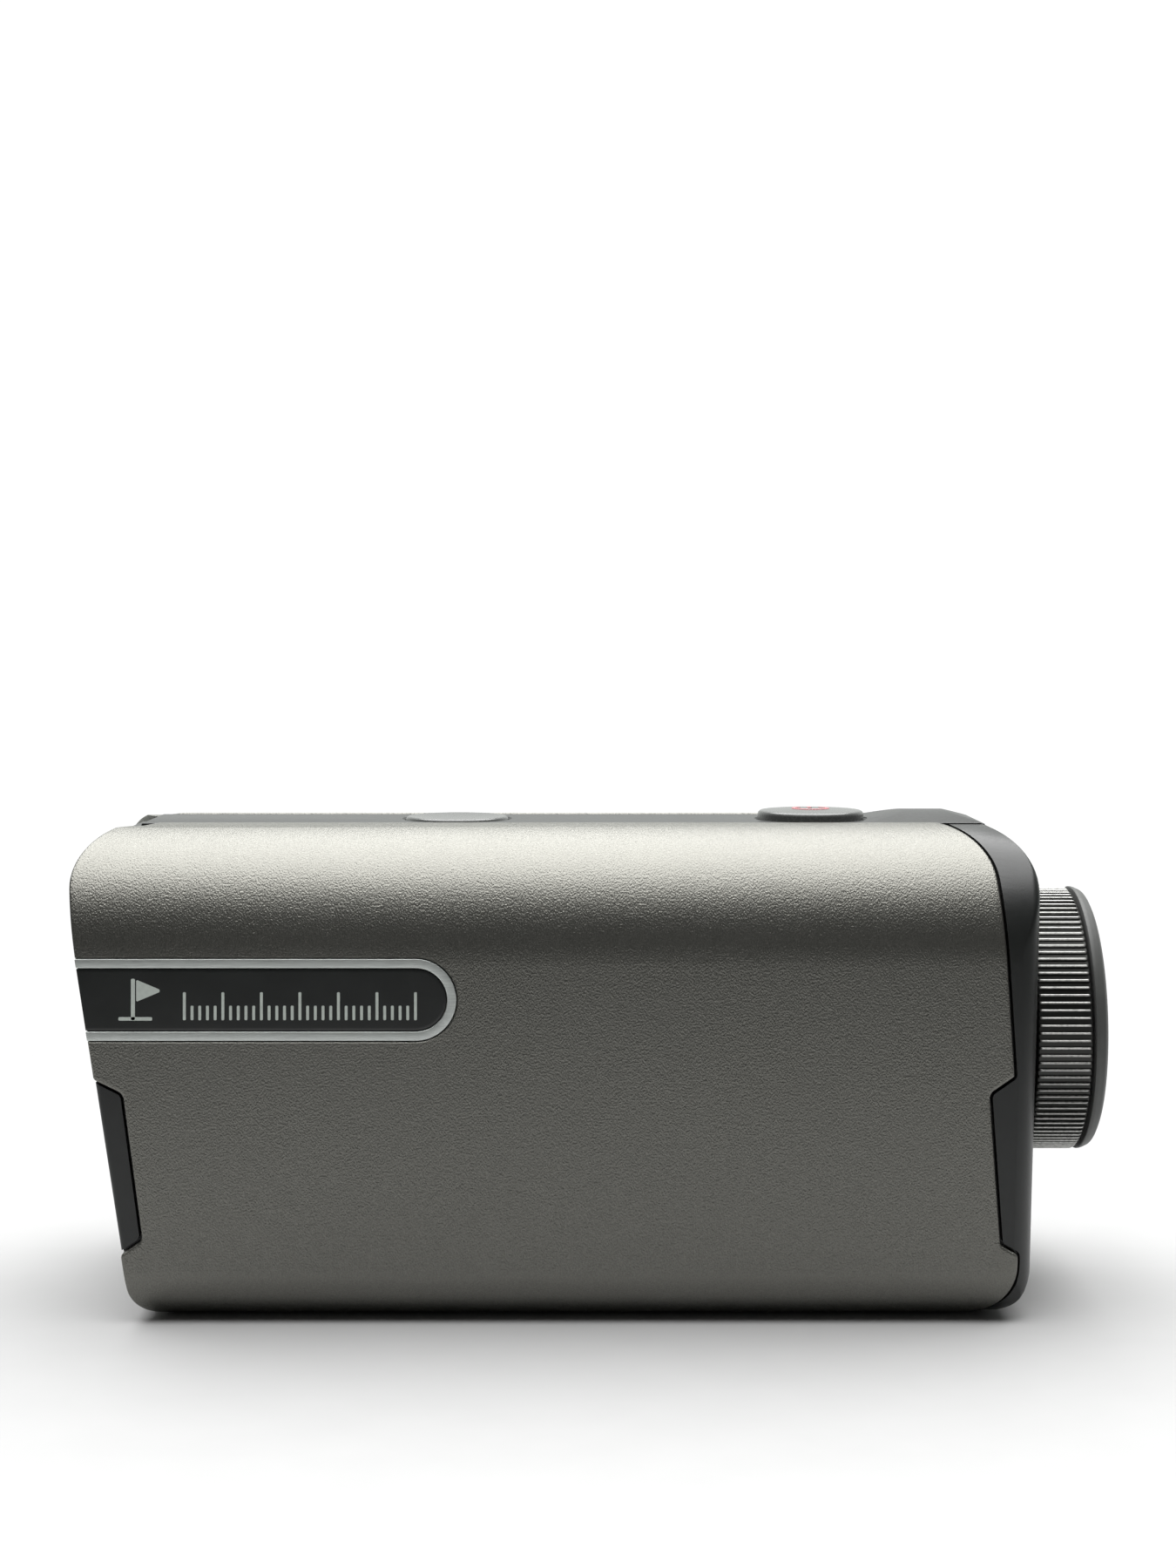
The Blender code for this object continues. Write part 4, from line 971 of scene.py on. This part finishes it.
def make_base_panel():
    """The strip underneath, with a stepped seat for each of its four screws."""
    low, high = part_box("base_panel")
    outline = rectangle(low.x, high.x, low.y, high.y, 2 * MM)
    base = add_object("base_panel_strip", stack(shrinking(outline), slab(low.z, high.z, 0.2 * MM), "Z"))
    seat, shank, chamfer = 1.8 * MM, 1.05 * MM, 0.2 * MM
    profile = [(-REACH, 0), (-REACH, seat + chamfer), (0, seat + chamfer), (chamfer, seat), (1.0 * MM, seat),
               (1.0 * MM, shank), (5 * MM, shank), (5 * MM, 0)]
    for number in range(1, 5):
        screw_low, screw_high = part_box(f"base_screw_{number}")
        middle = (screw_low + screw_high) / 2
        cut(base, turned(profile, "Z", (middle.x, middle.y, 0), 64))
        make_screw(number, screw_low, screw_high)
    piece(base, "black_plastic", "body", "base_panel")


def make_screw(number, low, high):
    """A pan-head screw seen from below, with a cross recess."""
    middle = (low + high) / 2
    head, shank = 1.5 * MM, 0.75 * MM
    profile = [(low.z + 0.06 * MM, 0)]
    profile += [(low.z + 0.06 * MM * (1 - s * s), 0.9 * MM * s) for s in (0.5, 1.0)]
    profile += [(low.z + d, head - r) for d, r in edge(0, 1, 0.22 * MM)[::-1]]
    profile += [(low.z + 0.75 * MM, head), (low.z + 0.75 * MM, shank), (high.z - 0.4 * MM, shank),
                (high.z, 0.3 * MM), (high.z, 0)]
    screw = add_object(f"base_screw_detail_{number}", turned(profile, "Z", (middle.x, middle.y, 0), 48))
    for along, across in ((0.85 * MM, 0.17 * MM), (0.17 * MM, 0.85 * MM)):
        bar = rectangle(middle.x - along, middle.x + along, middle.y - across, middle.y + across, 0.05 * MM)
        levels = [(low.z - REACH, 0), (low.z + 0.1 * MM, 0), (low.z + 0.5 * MM, 0.03 * MM)]
        cut(screw, stack(shrinking(bar), levels, "Z"))
    piece(screw, "plated_steel", "body", f"base_screw_{number}")


# ---------------- eyepiece, objective and laser


def rib_rise(turn, along, start, end):
    """Height of the ring's surface over its lands: a rounded rib on each pitch, with rounded ends."""
    across = abs((turn * RIB_COUNT) % 1.0 - 0.5) / 0.2
    crest = math.sqrt(max(0.0, 1 - across * across))
    from_end = max(min(along - start, end - along), 0.0)
    taper = math.sqrt(1 - (1 - min(from_end / RIB_TAPER[-1], 1.0)) ** 2)
    return RIB_HEIGHT * crest * taper


def make_diopter_ring():
    """The ring as lengthwise columns of points all the way round, several on each rib."""
    low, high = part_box("diopter_ring")
    land = RING_CREST - RIB_HEIGHT
    start, end = low.x + 0.14 * MM, high.x - 0.2 * MM
    ribbed = [start + reach for reach in RIB_TAPER]
    ribbed += [start + (end - start) * share for share in (0.35, 0.6, 0.8)]
    ribbed += [end - reach for reach in RIB_TAPER[::-1]]
    front = [(low.x, land - 0.2 * MM), (low.x + 0.06 * MM, land - 0.05 * MM)]
    rear = [(high.x - 0.05 * MM, land - 0.05 * MM), (high.x, land - 0.2 * MM)]
    flare = 0.2 * MM
    bore = [(high.x, RING_BORE + flare), (high.x - flare, RING_BORE), (low.x + flare, RING_BORE),
            (low.x, RING_BORE + flare)]
    loops = []
    for turn in [(i + share) / RIB_COUNT for i in range(RIB_COUNT) for share in RIB_STEPS]:
        column = front + [(x, land + rib_rise(turn, x, start, end)) for x in ribbed] + rear + bore
        angle = math.tau * turn
        loops.append([(x, r * math.cos(angle), EYE_Z + r * math.sin(angle)) for x, r in column])
    bm = skin(loops + [loops[0]], closed_ends=False)
    bmesh.ops.remove_doubles(bm, verts=bm.verts, dist=1e-7)
    ring = add_object("diopter_ring_ribbed", bm)
    piece(ring, "ring_metal", "diopter", "diopter_ring", sharp=60)


def make_eyecup():
    low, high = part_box("eyecup")
    front, rear = low.x / MM + 0.5, high.x / MM
    profile = [
        (front - 0.5, 12.1, 0), (front - 0.5, 10.6, 0.15), (front, 10.4, 0.1), (rear - 1.1, 10.75, 0.5),
        (rear - 0.05, 12.55, 0.5), (rear, 13.35, 0.5), (rear - 0.35, 14.1, 0.7), (front + 0.45, 14.45, 0.8),
        (front + 0.05, 14.5, 0.12), (front, 12.1, 0.1),
    ]
    cup = add_object("eyecup_lip", lathe(profile, EYE_Z, 160))
    piece(cup, "rubber", "diopter", "eyecup", sharp=50)


def lens(front, back, radius, front_sag, back_sag):
    """A lens's profile between the middles of its faces, which are parabolic, with a small edge bevel."""
    bevel = 0.08
    reach = radius - bevel
    face = [(front + front_sag * s * s, reach * s, 0) for s in shares(14)]
    rear_face = [(back - back_sag * s * s, reach * s, 0) for s in shares(14)][::-1]
    return face + [(face[-1][0] + bevel, radius, 0), (rear_face[0][0] - bevel, radius, 0)] + rear_face


def make_optics():
    """The turned rings, tubes and lenses that show inside the eyecup and behind the front windows.

    Profiles are in millimetres. The front lock rings have two notches for a spanner, and the collar has a
    slot for the carrier's pin.
    """
    parts = [
        ("lens_carrier_tube", "lens_carrier", "lens_group", EYE_Z, [
            (31.0, 7.6, 0), (31.0, 10.1, 0.1), (51.2, 10.1, 0.15), (51.2, 8.8, 0.15), (32.2, 8.8, 0),
            (32.2, 7.6, 0)]),
        ("eye_lens_lock_ring", "eye_lens_retainer", "lens_group", EYE_Z, [
            (47.6, 7.7, 0.1), (47.6, 8.6, 0.1), (49.4, 8.6, 0.1), (49.4, 8.1, 0.1)]),
        ("eye_lens_glass", "eye_lens", "lens_group", EYE_Z, lens(43.6, 48.6, 8.6, 0.6, 1.5)),
        ("eyepiece_collar_tube", "eyepiece_collar", "body", EYE_Z, [
            (30.0, 10.3, 0), (30.0, 12.0, 0), (41.0, 12.0, 0), (41.0, 13.4, 0.1), (42.3, 13.4, 0.1),
            (42.3, 12.0, 0), (44.0, 12.0, 0), (44.0, 11.2, 0), (45.4, 11.2, 0), (45.4, 12.0, 0),
            (52.6, 12.0, 0.2), (52.6, 10.3, 0.2)]),
        ("objective_barrel_tube", "objective_barrel", "body", EYE_Z, [
            (-48.0, 10.6, 0.1), (-43.8, 10.6, 0), (-43.8, 9.6, 0), (-42.8, 9.6, 0), (-42.8, 10.2, 0),
            (-31.0, 10.2, 0), (-31.0, 11.7, 0), (-48.0, 11.7, 0.1)]),
        ("objective_lock_ring", "objective_retainer", "body", EYE_Z, [
            (-49.3, 10.0, 0.15), (-48.3, 9.7, 0.1), (-48.3, 11.7, 0.1), (-49.3, 11.7, 0.15)]),
        ("laser_barrel_tube", "laser_barrel", "body", LASER_Z, [
            (-46.6, 4.0, 0.08), (-24.0, 4.0, 0), (-24.0, 5.0, 0), (-46.6, 5.0, 0.08)]),
        ("laser_lock_ring", "laser_retainer", "body", LASER_Z, [
            (-47.7, 3.5, 0.12), (-46.9, 3.3, 0.08), (-46.9, 5.0, 0.08), (-47.7, 5.0, 0.12)]),
        ("objective_lens_glass", "objective_lens", "body", EYE_Z, lens(-47.8, -44.1, 10.35, 1.3, 0.3)),
        ("laser_lens_glass", "laser_lens", "body", LASER_Z, lens(-46.3, -43.8, 3.75, 0.5, 0.1)),
    ]
    for name, node, body, z, profile in parts:
        part = add_object(name, lathe(profile, z))
        if node in ("objective_retainer", "laser_retainer"):
            face = profile[0][0] * MM
            for side in (1, -1):
                notch = rectangle(*sorted((side * 2 * MM, side * 15 * MM)), z - 0.45 * MM, z + 0.45 * MM)
                trim(part, notch, face - REACH, face + 0.35 * MM)
        if node == "eyepiece_collar":
            slot = rectangle(48.0 * MM, BEYOND, -0.9 * MM, 0.9 * MM)
            trim(part, slot, z + 9 * MM, z + 14 * MM, "Z")
        piece(part, "lens_glass" if name.endswith("glass") else "anodised_black", body, node)


# ---------------- buttons, symbol and flap


def button_face(radius, rim, middle):
    """The top of a cap as (height, radius), from its rounded rim to its centre, middle above the rim."""
    flat = radius - BUTTON_BEND
    bend = [(rim - BUTTON_BEND * (1 - math.sin(a)), flat + BUTTON_BEND * math.cos(a)) for a in quarter(5)]
    bowl = [(rim + middle * (1 - s * s), flat * s) for s in shares(12)][::-1]
    return bend + bowl[1:]


def make_buttons():
    for word, (radius, middle) in BUTTONS.items():
        low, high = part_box(f"{word}_button")
        x = (low.x + high.x) / 2
        rim = high.z - max(middle * 1.1, 0)
        flange = (high.x - low.x) / 2
        profile = [(low.z, 0), (low.z, flange), (low.z + 0.8 * MM, flange), (low.z + 0.8 * MM, radius)]
        profile += button_face(radius, rim, middle)
        cap = add_object(f"{word}_button_cap", turned(profile, "Z", (x, 0, 0)))
        piece(cap, "rubber", f"{word}_cap", f"{word}_button", sharp=40)
        cap.data.materials[0] = BUTTON
        if word == "power":
            make_power_symbol(x, rim, middle, radius - BUTTON_BEND)


def make_power_symbol(x, rim, middle, flat):
    """The usual power symbol, an open ring with a bar, raised a little on the domed cap."""
    ring, half = 1.9 * MM, 0.21 * MM
    opening = math.radians(36)
    foot, shoulder, crest = -0.03 * MM, 0.04 * MM, 0.06 * MM
    corners = [(-half, foot), (-half, shoulder), (-half * 0.8, crest), (half * 0.8, crest), (half, shoulder),
               (half, foot)]
    angles = shares(60, math.pi / 2 + opening, math.tau * 1.25 - opening)
    circle = [((ring * math.cos(a), ring * math.sin(a)), (math.cos(a), math.sin(a))) for a in angles]
    bar = [((0, 0.5 * MM + 2.1 * MM * s), (1, 0)) for s in shares(8)]
    for word, centreline in (("ring", circle), ("bar", bar)):
        loops = []
        for (u, v), (across_u, across_v) in centreline:
            places = [(u + across_u * a, v + across_v * a, lift) for a, lift in corners]
            loops.append([(x + u, v, rim + middle * (1 - (u * u + v * v) / (flat * flat)) + lift)
                          for u, v, lift in places])
        strip = add_object(f"power_symbol_{word}", skin(loops))
        strip.data.shade_smooth()
        strip.data.set_sharp_from_angle(angle=math.radians(35))
        strip.data.materials.append(RED)
        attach(strip, "power_cap")


def make_usb_flap():
    """The rubber flap with finger grooves at its free end, and the plug behind it."""
    low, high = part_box("usb_flap")
    y, z = (low.y + high.y) / 2, (low.z + high.z) / 2
    outline = rectangle(low.y, high.y, low.z, high.z, 1.2 * MM)
    levels = slab(high.x - FLAP_THICKNESS, high.x, 0.2 * MM)
    flap = add_object("usb_flap_cover", stack(shrinking(outline), levels, "X"))
    half, depth = 0.14 * MM, 0.18 * MM
    for i in range(3):
        groove_y = low.y + (1.1 + 0.7 * i) * MM
        groove = rectangle(groove_y - half, groove_y + half, z - 1.7 * MM, z + 1.7 * MM, 0.13 * MM)
        trim(flap, groove, high.x - depth, high.x + REACH, steps=0)
    plug = rectangle(y - 3.6 * MM, y + 3.6 * MM, z - 1.0 * MM, z + 1.0 * MM, 0.9 * MM)
    levels = [(low.x, 0.3 * MM), (low.x + 0.3 * MM, 0), (high.x - FLAP_THICKNESS / 2, 0)]
    cut(flap, stack(shrinking(plug), levels, "X"), "UNION")
    piece(flap, "rubber", "usb_cover", "usb_flap", sharp=40)


# ---------------- studio


def make_camera():
    data = bpy.data.cameras.new("camera")
    data.lens = CAMERA_LENS
    data.sensor_width = 36
    data.shift_y = CAMERA_SHIFT
    camera = place("camera", data)
    camera.location = CAMERA_AT
    camera.rotation_euler = (math.radians(90), 0, 0)
    bpy.context.scene.camera = camera


def make_floor():
    """A round pale table top under the object."""
    bm = bmesh.new()
    bmesh.ops.create_circle(bm, cap_ends=True, segments=128, radius=FLOOR_RADIUS)
    floor = add_object("table_top", bm)
    floor.location.z = -0.02 * MM
    floor.data.materials.append(made(table_paint))


def make_sky():
    """A room that is dark in front and bright behind, and a white backdrop that only the camera sees."""
    world = bpy.data.worlds.new("studio")
    bpy.context.scene.world = world
    world.use_nodes = True
    tree = world.node_tree
    link = tree.links.new
    backdrop = tree.nodes["Background"]
    fill(backdrop, Color=(1, 1, 1, 1), Strength=1.05)
    room = tree.nodes.new("ShaderNodeBackground")
    fill(room, Color=(0.97, 1.0, 0.97, 1))
    split = tree.nodes.new("ShaderNodeSeparateXYZ")
    link(tree.nodes.new("ShaderNodeTexCoord").outputs["Generated"], split.inputs[0])
    depth = tree.nodes.new("ShaderNodeMapRange")
    depth.interpolation_type = "SMOOTHSTEP"
    link(split.outputs["Y"], depth.inputs["Value"])
    fill(depth, From_Min=0.1, From_Max=0.9, To_Min=FRONT_GLOW, To_Max=REAR_GLOW)
    link(depth.outputs[0], room.inputs["Strength"])
    mix = tree.nodes.new("ShaderNodeMixShader")
    link(tree.nodes.new("ShaderNodeLightPath").outputs["Is Camera Ray"], mix.inputs[0])
    link(room.outputs[0], mix.inputs[1])
    link(backdrop.outputs[0], mix.inputs[2])
    link(mix.outputs[0], tree.nodes["World Output"].inputs["Surface"])


def make_overhead_light():
    """A broad soft light from above, a little to the front."""
    data = bpy.data.lights.new("overhead", "SUN")
    data.energy = 6.6
    data.angle = math.radians(78)
    place("overhead", data).rotation_euler = (math.radians(-12), 0, 0)


make_camera()
paint_nodes()
make_covers()
make_badge()
make_rear_frame()
make_front_bezel()
make_top_panel()
make_base_panel()
make_diopter_ring()
make_eyecup()
make_optics()
make_buttons()
make_usb_flap()
make_floor()
make_sky()
make_overhead_light()
bpy.context.scene.view_settings.view_transform = "Standard"
bpy.context.scene.view_settings.look = "None"
